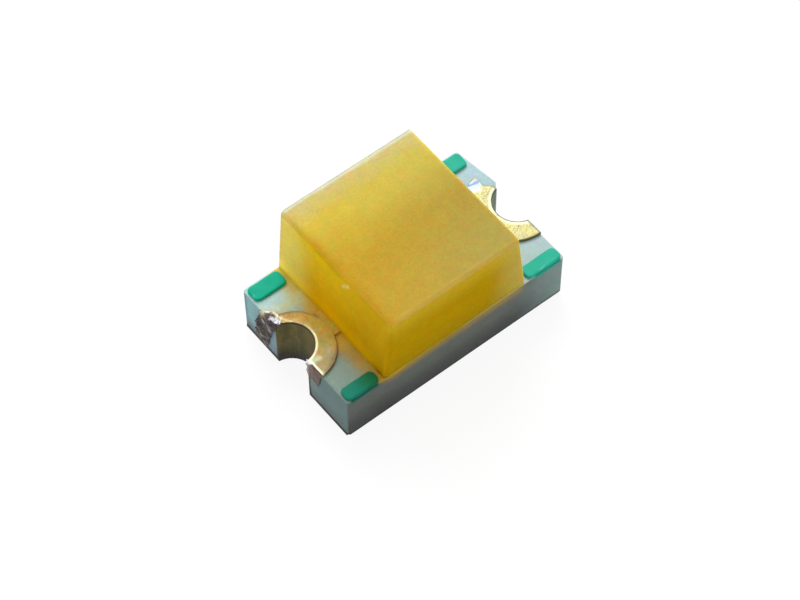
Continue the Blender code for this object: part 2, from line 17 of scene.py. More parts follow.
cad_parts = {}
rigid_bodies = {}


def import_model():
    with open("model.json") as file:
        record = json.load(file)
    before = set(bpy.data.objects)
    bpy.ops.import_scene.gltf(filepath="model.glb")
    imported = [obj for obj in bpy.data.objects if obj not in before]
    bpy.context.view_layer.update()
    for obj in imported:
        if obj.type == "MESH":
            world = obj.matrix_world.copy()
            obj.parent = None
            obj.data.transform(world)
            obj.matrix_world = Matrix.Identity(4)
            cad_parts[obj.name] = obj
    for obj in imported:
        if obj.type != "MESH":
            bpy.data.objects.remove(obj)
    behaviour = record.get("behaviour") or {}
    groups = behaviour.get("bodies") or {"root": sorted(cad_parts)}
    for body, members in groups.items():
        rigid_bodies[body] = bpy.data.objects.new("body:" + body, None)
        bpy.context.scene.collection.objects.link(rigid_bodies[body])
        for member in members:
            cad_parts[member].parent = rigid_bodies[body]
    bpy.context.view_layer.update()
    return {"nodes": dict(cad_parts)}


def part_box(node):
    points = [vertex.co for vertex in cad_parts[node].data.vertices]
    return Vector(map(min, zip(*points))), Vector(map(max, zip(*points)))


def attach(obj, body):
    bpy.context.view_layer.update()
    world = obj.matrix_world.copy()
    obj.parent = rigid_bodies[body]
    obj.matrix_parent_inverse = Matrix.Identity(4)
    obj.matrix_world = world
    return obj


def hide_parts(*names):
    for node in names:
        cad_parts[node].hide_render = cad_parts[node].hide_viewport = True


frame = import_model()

MM = 0.001
print("pieces in the frame:", ", ".join(sorted(frame["nodes"])))

# %% [markdown]
# ## Sizes from the frame
#
# Everything is modelled in millimetres and scaled once, when its mesh is made, because numbers
# such as 0.457 are easier to read than 0.000457. The boxes of the packed pieces give the sizes,
# so a change in the frame is followed here. The near end is at -X, the front at -Y.

# %% Boxes in millimetres
def box_mm(node):
    """Lowest and highest corner of a packed piece, in millimetres."""
    low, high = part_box(node)
    return low / MM, high / MM


BOARD_LOW, BOARD_HIGH = box_mm("board")
BLOCK_LOW, BLOCK_HIGH = box_mm("lens_block")
print("board", BOARD_LOW, BOARD_HIGH)
print("block", BLOCK_LOW, BLOCK_HIGH)

# %% [markdown]
# ## The camera
#
# The photograph was taken from high above one corner, through a long lens. A direction, a
# distance and a focal length say that more clearly than nine numbers of a matrix would. The
# camera looks at a point near the middle of the part, and leans a little to one side.

# %% Camera
CAMERA_AROUND = math.radians(-128.1)
CAMERA_UP = math.radians(55.8)
CAMERA_DISTANCE = 18.41
CAMERA_LEAN = math.radians(-0.75)
CAMERA_NEAREST = 0.1
CAMERA_FARTHEST = 130
SENSOR_WIDTH = 36.0
FOCAL_LENGTH = 114.6
LOOK_AT = Vector((-0.138, -0.134, 0.392))
CAMERA_PIVOT = Vector((0.0, 0.0, 0.522))


def make_camera():
    data = bpy.data.cameras.new("camera")
    data.sensor_width = SENSOR_WIDTH
    data.lens = FOCAL_LENGTH
    data.clip_start = CAMERA_NEAREST * MM
    data.clip_end = CAMERA_FARTHEST * MM
    camera = bpy.data.objects.new("camera", data)
    bpy.context.scene.collection.objects.link(camera)
    level = math.cos(CAMERA_UP)
    away = Vector((math.cos(CAMERA_AROUND) * level, math.sin(CAMERA_AROUND) * level, math.sin(CAMERA_UP)))
    place = CAMERA_PIVOT + away * CAMERA_DISTANCE
    aim = (LOOK_AT - place).to_track_quat("-Z", "Y")
    camera.rotation_mode = "QUATERNION"
    camera.rotation_quaternion = aim @ Quaternion((0, 0, 1), CAMERA_LEAN)
    camera.location = place * MM
    bpy.context.scene.camera = camera
    return camera


camera = make_camera()
print("camera at, in mm:", [round(value / MM, 2) for value in camera.location])

# %% [markdown]
# ## Sums on sockets
#
# A procedural material is a sum over nodes. Writing `0.5 * mask + grain` is easier to follow than
# two nodes and three links, so one small class wraps a socket, and Python's operators add the
# Math nodes. Colours and vectors don't go through Math nodes, which would turn them grey: they
# have ways of their own below.

# %% A socket that takes part in sums
class Socket:
    """One output of a node, which can stand in a Python sum."""

    def __init__(self, look, socket):
        self.look = look
        self.socket = socket

    def outlet(self, name):
        """Another output of the same node, by its name or number."""
        return Socket(self.look, self.socket.node.outputs[name])

    def __add__(self, other):
        return self.look.maths("ADD", self, other)

    def __radd__(self, other):
        return self.look.maths("ADD", other, self)

    def __sub__(self, other):
        return self.look.maths("SUBTRACT", self, other)

    def __rsub__(self, other):
        return self.look.maths("SUBTRACT", other, self)

    def __mul__(self, other):
        return self.look.maths("MULTIPLY", self, other)

    def __rmul__(self, other):
        return self.look.maths("MULTIPLY", other, self)

    def __pow__(self, other):
        return self.look.maths("POWER", self, other)

    def __rpow__(self, other):
        return self.look.maths("POWER", other, self)

    def __abs__(self):
        return self.look.maths("ABSOLUTE", self)


print("a socket takes part in", ", ".join(name for name in vars(Socket) if name.endswith("__")))

# %% [markdown]
# ## The nodes of a material or a world
#
# `Look` holds the nodes of one material or world. Its `node` method makes any node: settings
# first, because some of them change which sockets there are, then the sockets.

# %% Nodes
class Look:
    """The nodes of one material or world, and the shader that they end in."""

    def __init__(self, owner, shader, **constants):
        owner.use_nodes = True
        self.owner = owner
        self.tree = owner.node_tree
        self.shader = self.tree.nodes[shader]
        for socket, value in constants.items():
            self.set(socket.replace("_", " "), value)

    def feed(self, target, value):
        if isinstance(value, Socket):
            self.tree.links.new(value.socket, target)
        else:
            target.default_value = value

    def set(self, socket, value):
        """Give one socket of the shader a value or a link."""
        self.feed(self.shader.inputs[socket], value)

    def node(self, kind, settings=None, sockets=None, output=0):
        """Any node: its type, its settings, then the values or links of its sockets."""
        node = self.tree.nodes.new(kind)
        for key, value in (settings or {}).items():
            setattr(node, key, value)
        for key, value in (sockets or {}).items():
            self.feed(node.inputs[key], value)
        return Socket(self, node.outputs[output])

    def maths(self, operation, first, second=0.0):
        return self.node("ShaderNodeMath", {"operation": operation}, {0: first, 1: second})

    def larger(self, first, second):
        return self.maths("MAXIMUM", first, second)

    def vector(self, operation, first, second, output=0):
        return self.node("ShaderNodeVectorMath", {"operation": operation}, {0: first, 1: second}, output)

    def done(self):
        print(self.owner.name, "has", len(self.tree.nodes), "nodes")
        return self.owner


# %% [markdown]
# ## Light and floor
#
# The part lies on a pale floor under plain soft light. One wide sun from behind is the window,
# and the world is the rest of the room. What the camera sees of the world is white, directly or
# in a mirror, but that white puts no more light on the part. The floor glows a little to the
# camera in the same way and keeps the rest of its own shading, which holds the part's shadow.

# %% World, sun and floor
WINDOW_STRENGTH = 2.1
WINDOW_ANGLE = math.radians(40)
WINDOW_FROM = Vector((0.30, 0.62, 0.80))
ROOM_LIGHT = 0.62
WHITE = (1.0, 1.0, 1.0, 1.0)
FLOOR_TONE = (0.8, 0.8, 0.8, 1.0)
FLOOR_REACH = 60.0
FLOOR_DROP = 0.001
FLOOR_GLOW = 1.05
FLOOR_SHARE = 0.85


def to_the_eye(look):
    """1 for what the camera sees, also in a mirror or through glass, and 0 for what lights."""
    rays = look.node("ShaderNodeLightPath")
    seen = look.larger(rays, rays.outlet("Is Glossy Ray"))
    return look.larger(seen, rays.outlet("Is Transmission Ray"))


def make_world():
    world = bpy.data.worlds.new("room")
    bpy.context.scene.world = world
    look = Look(world, "Background", Color=WHITE)
    look.set("Strength", ROOM_LIGHT + (1.0 - ROOM_LIGHT) * to_the_eye(look))
    look.done()


def make_window():
    data = bpy.data.lights.new("window", "SUN")
    data.energy = WINDOW_STRENGTH
    data.angle = WINDOW_ANGLE
    lamp = bpy.data.objects.new("window", data)
    lamp.rotation_mode = "QUATERNION"
    lamp.rotation_quaternion = (-WINDOW_FROM).to_track_quat("-Z", "Y")
    bpy.context.scene.collection.objects.link(lamp)


def floor_look():
    look = Look(bpy.data.materials.new("pale_floor"), "Principled BSDF", Roughness=0.9)
    look.set("Specular IOR Level", 0.0)
    look.set("Base Color", FLOOR_TONE)
    plain = Socket(look, look.shader.outputs[0])
    glow = look.node("ShaderNodeEmission", None, {"Color": WHITE, "Strength": FLOOR_GLOW})
    mixed = look.node("ShaderNodeMixShader", None, {0: FLOOR_SHARE * to_the_eye(look), 1: plain, 2: glow})
    look.feed(look.tree.nodes["Material Output"].inputs["Surface"], mixed)
    return look.done()


def make_floor():
    reach = FLOOR_REACH * MM
    corners = [(-reach, -reach), (reach, -reach), (reach, reach), (-reach, reach)]
    mesh = bpy.data.meshes.new("floor")
    mesh.from_pydata([(x, y, -FLOOR_DROP * MM) for x, y in corners], [], [(0, 1, 2, 3)])
    mesh.materials.append(floor_look())
    floor = bpy.data.objects.new("floor", mesh)
    bpy.context.scene.collection.objects.link(floor)


bpy.context.scene.view_settings.view_transform = "Standard"
make_world()
make_window()
make_floor()

# %% [markdown]
# ## A finish on the part
#
# All that these finishes show follows from where a point is: what the saw, the light or the mould
# did there. So a finish knows its place in millimetres and has short ways for the few steps that
# every finish takes: a soft step, a cloud of noise, a blend of two colours and a bump.

# %% A finish under construction
def colour(red, green, blue):
    """A colour as a paint program shows it, from 0 to 255, in the linear numbers of a shader."""
    linear = []
    for level in (red, green, blue):
        share = level / 255
        linear.append(share / 12.92 if share <= 0.04045 else ((share + 0.055) / 1.055) ** 2.4)
    return (*linear, 1.0)


class Finish(Look):
    """A material on the part; level is the height of the points whose Z isn't given."""

    def __init__(self, name, level=0.0, **constants):
        super().__init__(bpy.data.materials.new(name), "Principled BSDF", **constants)
        in_metres = self.node("ShaderNodeTexCoord", output=3)
        self.place = self.vector("MULTIPLY", in_metres, (1 / MM, 1 / MM, 1 / MM))
        self.x = self.node("ShaderNodeSeparateXYZ", None, {0: self.place})
        self.y = self.x.outlet("Y")
        self.z = self.x.outlet("Z")
        self.level = level
        self.wavy_places = {}

    def step(self, value, low, high):
        """0 below low, 1 above high and a soft slope between; high may be below low."""
        sockets = {"Value": value, "From Min": low, "From Max": high}
        return self.node("ShaderNodeMapRange", {"interpolation_type": "SMOOTHSTEP"}, sockets)

    def cloud(self, scale, detail=2.0, roughness=0.5, distortion=0.0):
        """Noise; scale is the spots in a millimetre, or as many along X, Y and Z each."""
        place = self.place
        if isinstance(scale, tuple):
            place = self.vector("MULTIPLY", place, scale)
            scale = 1.0
        sockets = {"Vector": place, "Scale": scale, "Detail": detail}
        sockets |= {"Roughness": roughness, "Distortion": distortion}
        return self.node("ShaderNodeTexNoise", None, sockets)

    def mix(self, factor, first, second, blend="MIX"):
        """A blend of two colours."""
        settings = {"data_type": "RGBA", "blend_type": blend, "clamp_factor": True}
        return self.node("ShaderNodeMix", settings, {0: factor, 6: first, 7: second}, output=2)

    def bump(self, height, depth, under=None):
        """A Bump node; depth is how deep a height of 1 is, in millimetres."""
        sockets = {"Height": height, "Distance": depth * MM}
        if under:
            sockets["Normal"] = under
        return self.node("ShaderNodeBump", None, sockets)


print("a mid grey of 128 is", round(colour(128, 128, 128)[0], 3), "to a shader")

# %% [markdown]
# ## Brush strokes and speckles
#
# A scratch, a stain or a worn rim is a line with a soft border. The distance from a point to a
# line is a few Vector Math nodes, and a soft step turns it into a brush stroke. A straight one
# would look drawn, so its place can be pushed about by noise. Speckles stand for fine dust and
# for the grain of the real surface: each colour rises and falls a little from spot to spot.

# %% Strokes and speckles
def wavy(look, waves, sway):
    """The place, pushed about by noise with so many waves a millimetre and so wide a sway."""
    if (waves, sway) not in look.wavy_places:
        push = look.vector("SUBTRACT", look.cloud(waves).outlet(1), (0.5, 0.5, 0.5))
        push = look.vector("MULTIPLY", push, (sway, sway, sway))
        look.wavy_places[waves, sway] = look.vector("ADD", look.place, push)
    return look.wavy_places[waves, sway]


def stroke(look, start, end, width, core=0.4, wave=None):
    """1 near a line, up to the core's share of the width, and 0 from the width on."""
    start = Vector((*start, look.level)[:3])
    line = Vector((*end, look.level)[:3]) - start
    place = wavy(look, *wave) if wave else look.place
    reach = look.vector("SUBTRACT", place, start)
    share = look.vector("DOT_PRODUCT", reach, line, output=1) * (1 / line.length_squared)
    share = look.node("ShaderNodeClamp", None, {0: share})
    foot = look.node("ShaderNodeVectorMath", {"operation": "SCALE"}, {0: line, 3: share})
    gap = look.vector("DISTANCE", reach, foot, output=1)
    return look.step(gap, width, width * core)


def speckled(look, tone, scale, depth, middle=1.0):
    """A colour whose red, green and blue each vary by depth about the middle."""
    low = middle - depth / 2
    sockets = {0: look.cloud(scale, 2.0, 0.6).outlet(1), 1: (depth, depth, depth), 2: (low, low, low)}
    level = look.node("ShaderNodeVectorMath", {"operation": "MULTIPLY_ADD"}, sockets)
    return look.vector("MULTIPLY", tone, level)


# %% [markdown]
# ## Pieces that stand for packed ones
#
# A packed piece has the right form, but its edges are razor sharp. A real sawn or moulded piece
# has edges worn round by a few thousandths of a millimetre, and they are what catches the light.
# So each piece below is a copy of the packed one, or is built anew over the same sizes. It is
# worked on as a bare mesh in millimetres, and then shown in metres where the packed piece was.

# %% Copies, and pieces to show
WELD = 0.00001


def packed_copy(node):
    """A packed piece's mesh in millimetres."""
    work = bmesh.new()
    work.from_mesh(frame["nodes"][node].data)
    bmesh.ops.scale(work, vec=(1 / MM, 1 / MM, 1 / MM), verts=work.verts)
    bmesh.ops.remove_doubles(work, verts=work.verts, dist=WELD)
    return work


def as_object(work, name):
    mesh = bpy.data.meshes.new(name)
    work.to_mesh(mesh)
    work.free()
    thing = bpy.data.objects.new(name, mesh)
    bpy.context.scene.collection.objects.link(thing)
    return thing


def as_seen(thing):
    """The mesh that an object's modifiers give; the object itself is taken away."""
    seen = thing.evaluated_get(bpy.context.evaluated_depsgraph_get())
    work = bmesh.new()
    work.from_mesh(seen.to_mesh())
    bpy.data.objects.remove(thing)
    return work


def show(name, work, material, node, sharp=50):
    """Turn a mesh in millimetres into a piece that stands for a packed one."""
    bmesh.ops.recalc_face_normals(work, faces=work.faces)
    bmesh.ops.scale(work, vec=(MM, MM, MM), verts=work.verts)
    piece = as_object(work, name)
    piece.data.materials.append(material)
    piece.data.shade_smooth()
    piece.data.set_sharp_from_angle(angle=math.radians(sharp))
    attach(piece, "root")
    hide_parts(node)
    print(name, "has", len(piece.data.polygons), "faces")
    return piece


def dress(node, material):
    """Give a packed piece that is shown as it is another material."""
    thing = frame["nodes"][node]
    thing.data.materials.clear()
    thing.data.materials.append(material)


# %% [markdown]
# ## The epoxy's top
#
# The block is clear resin, clouded through and through by yellow phosphor. How deep its amber
# looks depends on how far the light had to go: the back, where the light comes in, is pale straw,
# and the front is amber. That light is slow and simple, so it is painted by place. Along its
# back edge the top is painted pale, and towards the near end it rolls over into painted shade.

# %% Epoxy, the top
def lit_back(look, mottle):
    """1 at the block's back, where the light comes in."""
    return look.step(look.y + 0.2 * mottle, 0.15, 0.60)


# The top's back edge is painted pale, with a streaked border; the glow adds painted light along it.
def pale_back_edge(look, mottle):
    streaks = look.cloud((5.0, 40.0, 5.0), 3.0, 0.6) - 0.5
    return look.step(look.y + 0.07 * streaks + 0.02 * mottle, 0.574, 0.598)


def epoxy_top(look, mottle, lit, pale_edge):
    along = look.step(look.x + 0.25 * mottle, -0.62, 0.60)
    rows = look.y + 0.2 * mottle
    # Painted light: amber in front, straw behind where the light comes in.
    fore = look.mix(along, colour(204, 170, 62), colour(188, 171, 88))
    middle = look.mix(along, colour(208, 168, 48), colour(190, 164, 70))
    straw = look.mix(along, colour(224, 198, 74), colour(216, 199, 92))
    top = look.mix(look.step(rows, -0.60, 0.0), fore, middle)
    top = look.mix(look.step(rows, -0.10, 0.42), top, straw)
    top = look.mix(0.9 * look.step(rows, 0.40, 0.62), top, colour(218, 203, 138))
    top = look.mix(0.9 * pale_edge, top, colour(212, 218, 198))
    # Painted shade where the top rolls over towards the near end, away from the light.
    rolled = look.step(look.x + 0.05 * mottle, -0.50, -0.62) * (1.0 - lit)
    return look.mix(0.7 * rolled, top, colour(204, 160, 34))


# %% [markdown]
# ## The epoxy's sides
#
# The drafted ends catch the light from above, and that light is painted: gold at their crest,
# deep amber in painted shade at their foot, and bright yellow where they reach the lit back. The
# sawn front is in the shade, so it is painted ochre, darker towards its foot and paler towards
# the far end.

# %% Epoxy, the sides
def epoxy_end(look, mottle, lit):
    # Painted light: gold higher up, deep amber towards the foot, brighter towards the lit back.
    turned = look.step(look.y + 0.2 * mottle, -0.50, 0.10)
    gold = look.mix(turned, colour(220, 172, 20), colour(238, 192, 22))
    gold = look.mix(lit, gold, colour(254, 232, 104))
    amber = look.mix(turned, colour(208, 155, 6), colour(232, 168, 1))
    amber = look.mix(lit, amber, colour(254, 228, 108))
    end = look.mix(look.step(look.z + 0.08 * mottle, 1.02, 0.50), gold, amber)
    lit_crest = look.step(look.z + 0.03 * mottle, 0.94, 1.04) * (1.0 - lit)
    end = look.mix(lit_crest, end, look.mix(turned, colour(222, 174, 12), colour(244, 204, 14)))
    # Painted shade at the foot of the end, where it is out of the light.
    foot = look.step(look.z, 0.58, 0.47) * (1.0 - lit)
    return look.mix(0.5 * foot, end, colour(190, 138, 0))


def epoxy_front(look, mottle):
    # Painted shade: the sawn front is darker towards its foot, and painted paler towards the far end.
    ochre = look.mix(look.step(look.z, 1.06, 0.80), colour(218, 180, 34), colour(200, 158, 5))
    ochre = look.mix(look.step(look.z, 0.72, 0.48), ochre, colour(190, 151, 12))
    far = look.step(look.x + 0.1 * mottle, 0.25, 0.60)
    return look.mix(0.8 * far, ochre, colour(212, 190, 92))


# %% [markdown]
# ## The epoxy's edges and its back
#
# An edge of clouded resin isn't one line. Light leaks out of it, so some edges are paler than
# what they part, and others look deeper, where the eye sees far into the block: both are painted
# highlights and painted shade. A pale spot is painted near the crest. The back side, which the
# photograph doesn't show, is plain amber under a dull grey brink.

# %% Epoxy, the edges and the back
def epoxy_edges(look, tone):
    # Painted light on the edges: a soft band over the near top edge, a deeper painted seam, a painted
    # highlight under the front top edge, painted shade on the near front corner, and a painted highlight up
    # the far front corner.
    painted_edge_band = stroke(look, (-0.608, -0.60, 1.07), (-0.608, 0.05, 1.07), 0.06, 0.0, (6.0, 0.02))
    tone = look.mix(0.4 * painted_edge_band, tone, colour(206, 166, 48))
    deep_seam_shade = stroke(look, (-0.598, 0.60, 1.062), (-0.594, 0.24, 1.066), 0.028, 0.0, (8.0, 0.015))
    fading_shade = stroke(look, (-0.598, 0.24, 1.074), (-0.606, -0.04, 1.045), 0.06, 0.0)
    tone = look.mix(0.55 * look.larger(deep_seam_shade, 0.6 * fading_shade), tone, colour(192, 140, 0))
    arris_highlight = stroke(look, (-0.56, -0.622, 1.074), (0.52, -0.622, 1.074), 0.042, 0.0, (6.0, 0.02))
    tone = look.mix(0.55 * arris_highlight, tone, colour(226, 194, 104))
    corner = stroke(look, (-0.630, -0.612, 0.46), (-0.602, -0.612, 0.95), 0.042, 0.2)
    tone = look.mix(0.35 * corner, tone, colour(186, 142, 4))
    pale_spot = stroke(look, (-0.612, -0.098, 0.975), (-0.612, -0.158, 1.031), 0.026, 0.0, (30.0, 0.02))
    tone = look.mix(0.65 * pale_spot, tone, colour(252, 224, 140))
    pale = stroke(look, (0.628, -0.625, 0.46), (0.585, -0.620, 1.00), 0.022, 0.2, (12.0, 0.01))
    return look.mix(0.55 * pale, tone, colour(232, 228, 176))


def back_side(look):
    behind = look.step(look.y, 0.614, 0.622) * look.step(look.z, 1.07, 1.05)
    return behind * look.step(look.x, -0.62, -0.58)


def epoxy_back(look, tone, behind):
    tone = look.mix(0.9 * behind, tone, colour(160, 118, 8))
    dull = look.step(look.y, 0.575, 0.605) * look.step(look.x, -0.58, -0.61)
    tone = look.mix(0.45 * dull, tone, colour(176, 168, 132))
    brink = look.larger(look.step(look.z, 1.05, 1.07), look.step(look.x, -0.56, -0.60))
    brink = brink * look.step(look.y, 0.602, 0.615)
    grey = look.mix(look.step(look.z, 1.04, 1.07), colour(168, 148, 84), colour(136, 142, 126))
    return look.mix(0.9 * brink, tone, grey)


# %% [markdown]
# ## The epoxy's finish
#
# Light goes into the resin, wanders and comes out elsewhere, which softens every edge.
# Subsurface scattering does just that. What it can't do is carry light round from the lit back to
# the foot of the near end, where the real block glows, so a little emission stands for it.

# %% Epoxy finish
EPOXY_SCATTER = 0.10
EPOXY_GRAIN = 0.0010


def epoxy_glow(look, lit, pale_edge, behind):
    # Painted glow: light coming out of the resin at the near end's foot, along the pale back edge, and a
    # little on the back.
    foot = look.step(look.z, 0.66, 0.47) * look.step(look.x, -0.60, -0.62) * look.step(look.y, -0.60, -0.40)
    glow = look.mix(lit, colour(106, 84, 0), colour(134, 122, 14))
    glow = look.mix(foot, colour(0, 0, 0), glow)
    glow = look.mix(pale_edge * look.step(look.z, 1.05, 1.08), glow, colour(50, 55, 52))
    return look.mix(behind, glow, colour(30, 22, 0))


def epoxy_look():
    look = Finish("phosphor_epoxy", Roughness=0.6, Subsurface_Weight=1.0, Emission_Strength=1.0)
    look.set("Subsurface Scale", EPOXY_SCATTER * MM)
    look.set("Subsurface Radius", (1.0, 0.7, 0.15))
    look.set("Specular IOR Level", 0.03)
    mottle = look.cloud(4.0, 3.0) - 0.5
    lit = lit_back(look, mottle)
    pale_edge = pale_back_edge(look, mottle)
    behind = back_side(look)
    front = look.step(look.y, -0.53, -0.618)
    side = look.mix(front, epoxy_end(look, mottle, lit), epoxy_front(look, mottle))
    upper = look.step(look.z + 0.02 * mottle, 1.036, 1.091)
    tone = look.mix(upper, side, epoxy_top(look, mottle, lit, pale_edge))
    tone = epoxy_edges(look, tone)
    tone = speckled(look, tone, 60.0, 0.42, 0.91)
    tone = speckled(look, tone, 11.0, 0.26)
    look.set("Base Color", epoxy_back(look, tone, behind))
    look.set("Emission Color", epoxy_glow(look, lit, pale_edge, behind))
    look.set("Normal", look.bump(look.cloud(75.0, 2.0, 0.7) - 0.5, EPOXY_GRAIN))
    return look.done()


# %% [markdown]
# ## The epoxy block, a box with round edges
#
# A bevel gives all edges one width, but this block's near edges are rounder than the rest. So it
# is built as a box of fine squares, and every point is pulled onto a box with round edges: the
# distance that it lies outside a smaller inner box is kept, but measured round the corner. The
# squares are narrower where an edge is round. The foot stays sharp, as the block stands flush on
# the board.

# %% A box with round edges
ROUND_LOW = (0.060, 0.024, 0.0)
ROUND_HIGH = (0.018, 0.015, 0.028)
ROUND_STEPS = 6
BLOCK_SQUARE = 0.04


def line_places(low, high, round_low, round_high):
    """Places of grid lines from low to high, closer together where an edge is round."""
    arc = [1 - math.tan(math.pi / 4 * (1 - step / ROUND_STEPS)) for step in range(ROUND_STEPS)]
    start = low + round_low
    stop = high - round_high
    count = max(1, round((stop - start) / BLOCK_SQUARE))
    places = [start + (stop - start) * step / count for step in range(count + 1)]
    before = [low + round_low * part for part in arc] if round_low else []
    after = [high - round_high * part for part in reversed(arc)] if round_high else []
    return before + places + after


def round_place(corner, low, high):
    """Pull a point of the box onto the box with round edges."""
    inner = Vector(corner)
    share = Vector((0, 0, 0))
    for axis in range(3):
        inner[axis] = min(max(corner[axis], low[axis] + ROUND_LOW[axis]), high[axis] - ROUND_HIGH[axis])
        reach = corner[axis] - inner[axis]
        radius = ROUND_LOW[axis] if reach < 0 else ROUND_HIGH[axis]
        if radius:
            share[axis] = reach / radius
    if share.length < WELD:
        return corner
    return inner + (corner - inner) * (max(abs(part) for part in share) / share.length)


def rounded_box(low, high):
    work = bmesh.new()
    lines = [line_places(low[axis], high[axis], ROUND_LOW[axis], ROUND_HIGH[axis]) for axis in range(3)]
    for axis in range(3):
        across, along = [other for other in range(3) if other != axis]
        for level in (low[axis], high[axis]):
            net = []
            for first in lines[across]:
                row = []
                for second in lines[along]:
                    corner = Vector((0, 0, 0))
                    corner[axis], corner[across], corner[along] = level, first, second
                    row.append(work.verts.new(round_place(corner, low, high)))
                net.append(row)
            for row, after in zip(net, net[1:]):
                for step in range(len(row) - 1):
                    work.faces.new((row[step], row[step + 1], after[step + 1], after[step]))
    bmesh.ops.remove_doubles(work, verts=work.verts, dist=WELD)
    return work


# %% [markdown]
# ## The block's drafted ends
#
# The mould's ends lean in, so that the block came out of it. How far is measured on the packed
# block. A little is added that grows upward and towards the back, where the real block spreads.

# %% Drafted ends
BACK_SPREAD = 0.02
TOP_FROM = 0.5


def end_line(foot_x, side):
    """An end of the packed block as its X at the foot, and how far it leans in per millimetre."""
    corners = [corner.co / MM for corner in frame["nodes"]["lens_block"].data.vertices]
    row = [corner for corner in corners if abs(corner.y - side) < WELD and corner.x * foot_x > 0]
    row = sorted(row, key=lambda corner: (round(corner.z, 5), -abs(corner.x)))
    above = [corner for corner in row if corner.z > BLOCK_LOW.z + TOP_FROM]
    return row[0].x, (above[0].x - row[0].x) / (above[0].z - row[0].z)


def lean_ends(work, low, high):
    """Move the points along X so that the box gets the packed block's drafted ends."""
    near_foot, near_lean = end_line(low.x, low.y)
    far_foot, far_lean = end_line(high.x, low.y)
    print("ends lean in by", round(near_lean, 3), round(far_lean, 3), "per millimetre")
    for point in work.verts:
        rise = point.co.z - low.z
        back = (point.co.y - low.y) / (high.y - low.y)
        share = (point.co.x - low.x) / (high.x - low.x)
        start = near_foot + rise * near_lean - BACK_SPREAD * back * rise
        stop = far_foot + rise * far_lean + BACK_SPREAD * back * rise
        point.co.x = start + (stop - start) * share


# %% [markdown]
# ## The rooms inside the block
#
# The resin was cast round the chip, the wires and the lands, so the block has rooms in their
# form. Copies of them are pressed outward by a hair, and one Boolean modifier cuts them all.

# %% Rooms, and the block itself
ROOM_GROWTH = 0.002
CHIP_NODES = ("die_glue", "led_die", "cathode_contact", "anode_contact")
GOLD_NODES = ("cathode_wire", "anode_wire", "cathode_terminal", "anode_terminal")


def press(work, depth):
    """Move every point inward along its normal by the depth that is given for its place."""
    work.normal_update()
    moves = [(point, point.normal * -depth(point.co, point.normal)) for point in work.verts]
    for point, move in moves:
        point.co += move


def cut_rooms(work, nodes):
    block = as_object(work, "block")
    rooms = bpy.data.collections.new("rooms")
    bpy.context.scene.collection.children.link(rooms)
    for node in nodes:
        room = packed_copy(node)
        press(room, lambda place, normal: -ROOM_GROWTH)
        thing = as_object(room, "room")
        bpy.context.scene.collection.objects.unlink(thing)
        rooms.objects.link(thing)
    modifier = block.modifiers.new("rooms", "BOOLEAN")
    modifier.operand_type = "COLLECTION"
    modifier.collection = rooms
    modifier.solver = "EXACT"
    result = as_seen(block)
    for thing in list(rooms.objects):
        bpy.data.objects.remove(thing)
    bpy.data.collections.remove(rooms)
    return result


def make_block():
    box = rounded_box(BLOCK_LOW, BLOCK_HIGH)
    lean_ends(box, BLOCK_LOW, BLOCK_HIGH)
    bmesh.ops.recalc_face_normals(box, faces=box.faces)
    box = cut_rooms(box, CHIP_NODES + GOLD_NODES)
    show("epoxy_block", box, epoxy_look(), "lens_block")


make_block()

# %% [markdown]
# ## The laminate's faces
#
# The board is white resin on woven glass. From above it looks pale blue-grey. Beside the block
# the amber light that comes out of it is painted on the board as yellow, most of all next to the
# near land. Shade is painted too: the front of the strip at the near end lies in the block's
# shadow, and the sawn sides are painted dark, darkest along the lower edge. All of that is a
# matter of place on the board, so it is painted there.

# %% Laminate, face by face
BOARD_TOP = BOARD_HIGH.z
DAB_MIDDLE = 0.845


def board_top(look, mottle, lit):
    # Painted shadow: the front of the near strip, in the block's shadow, is darker than its lit back.
    near = look.mix(lit, colour(148, 168, 156), colour(190, 222, 218))
    far = look.mix(look.step(look.y, -0.5, 0.5), colour(182, 206, 206), colour(186, 215, 222))
    top = look.mix(look.step(look.x, -0.3, 0.3), near, far)
    # Painted amber light from the block on the board: beside it, by the near land, and at its foot.
    amber_light_patch = look.step(look.x + 0.06 * mottle, BLOCK_LOW.x - 0.17, BLOCK_LOW.x - 0.01)
    amber = look.mix(lit, colour(198, 158, 40), colour(228, 192, 38))
    top = look.mix(0.9 * amber_light_patch * look.step(look.x, 0.1, 0.0), top, amber)
    amber_light_by_land = stroke(look, (-0.70, 0.14), (-0.72, -0.18), 0.12, 0.1, (8.0, 0.05))
    top = look.mix(0.75 * amber_light_by_land, top, colour(226, 180, 54))
    warm_light = stroke(look, (-0.72, 0.31), (-0.93, 0.30), 0.09, 0.1, (9.0, 0.05))
    top = look.mix(0.7 * warm_light, top, colour(214, 212, 156))
    amber_glow_by_foot = stroke(look, (-0.655, -0.600), (-0.60, -0.622), 0.055, 0.2, (12.0, 0.02))
    top = look.mix(0.9 * amber_glow_by_foot, top, colour(200, 150, 16))
    wisp = stroke(look, (-0.985, 0.40), (-0.90, 0.33), 0.050, 0.1, (24.0, 0.05))
    top = look.mix(0.6 * wisp, top, colour(222, 232, 230))
    # The near brink is painted lighter where lit and darker in shade.
    brink = look.mix(lit, colour(120, 142, 142), colour(184, 214, 214))
    return look.mix(0.5 * look.step(look.x + 0.02 * mottle, -0.965, -0.998), top, brink)


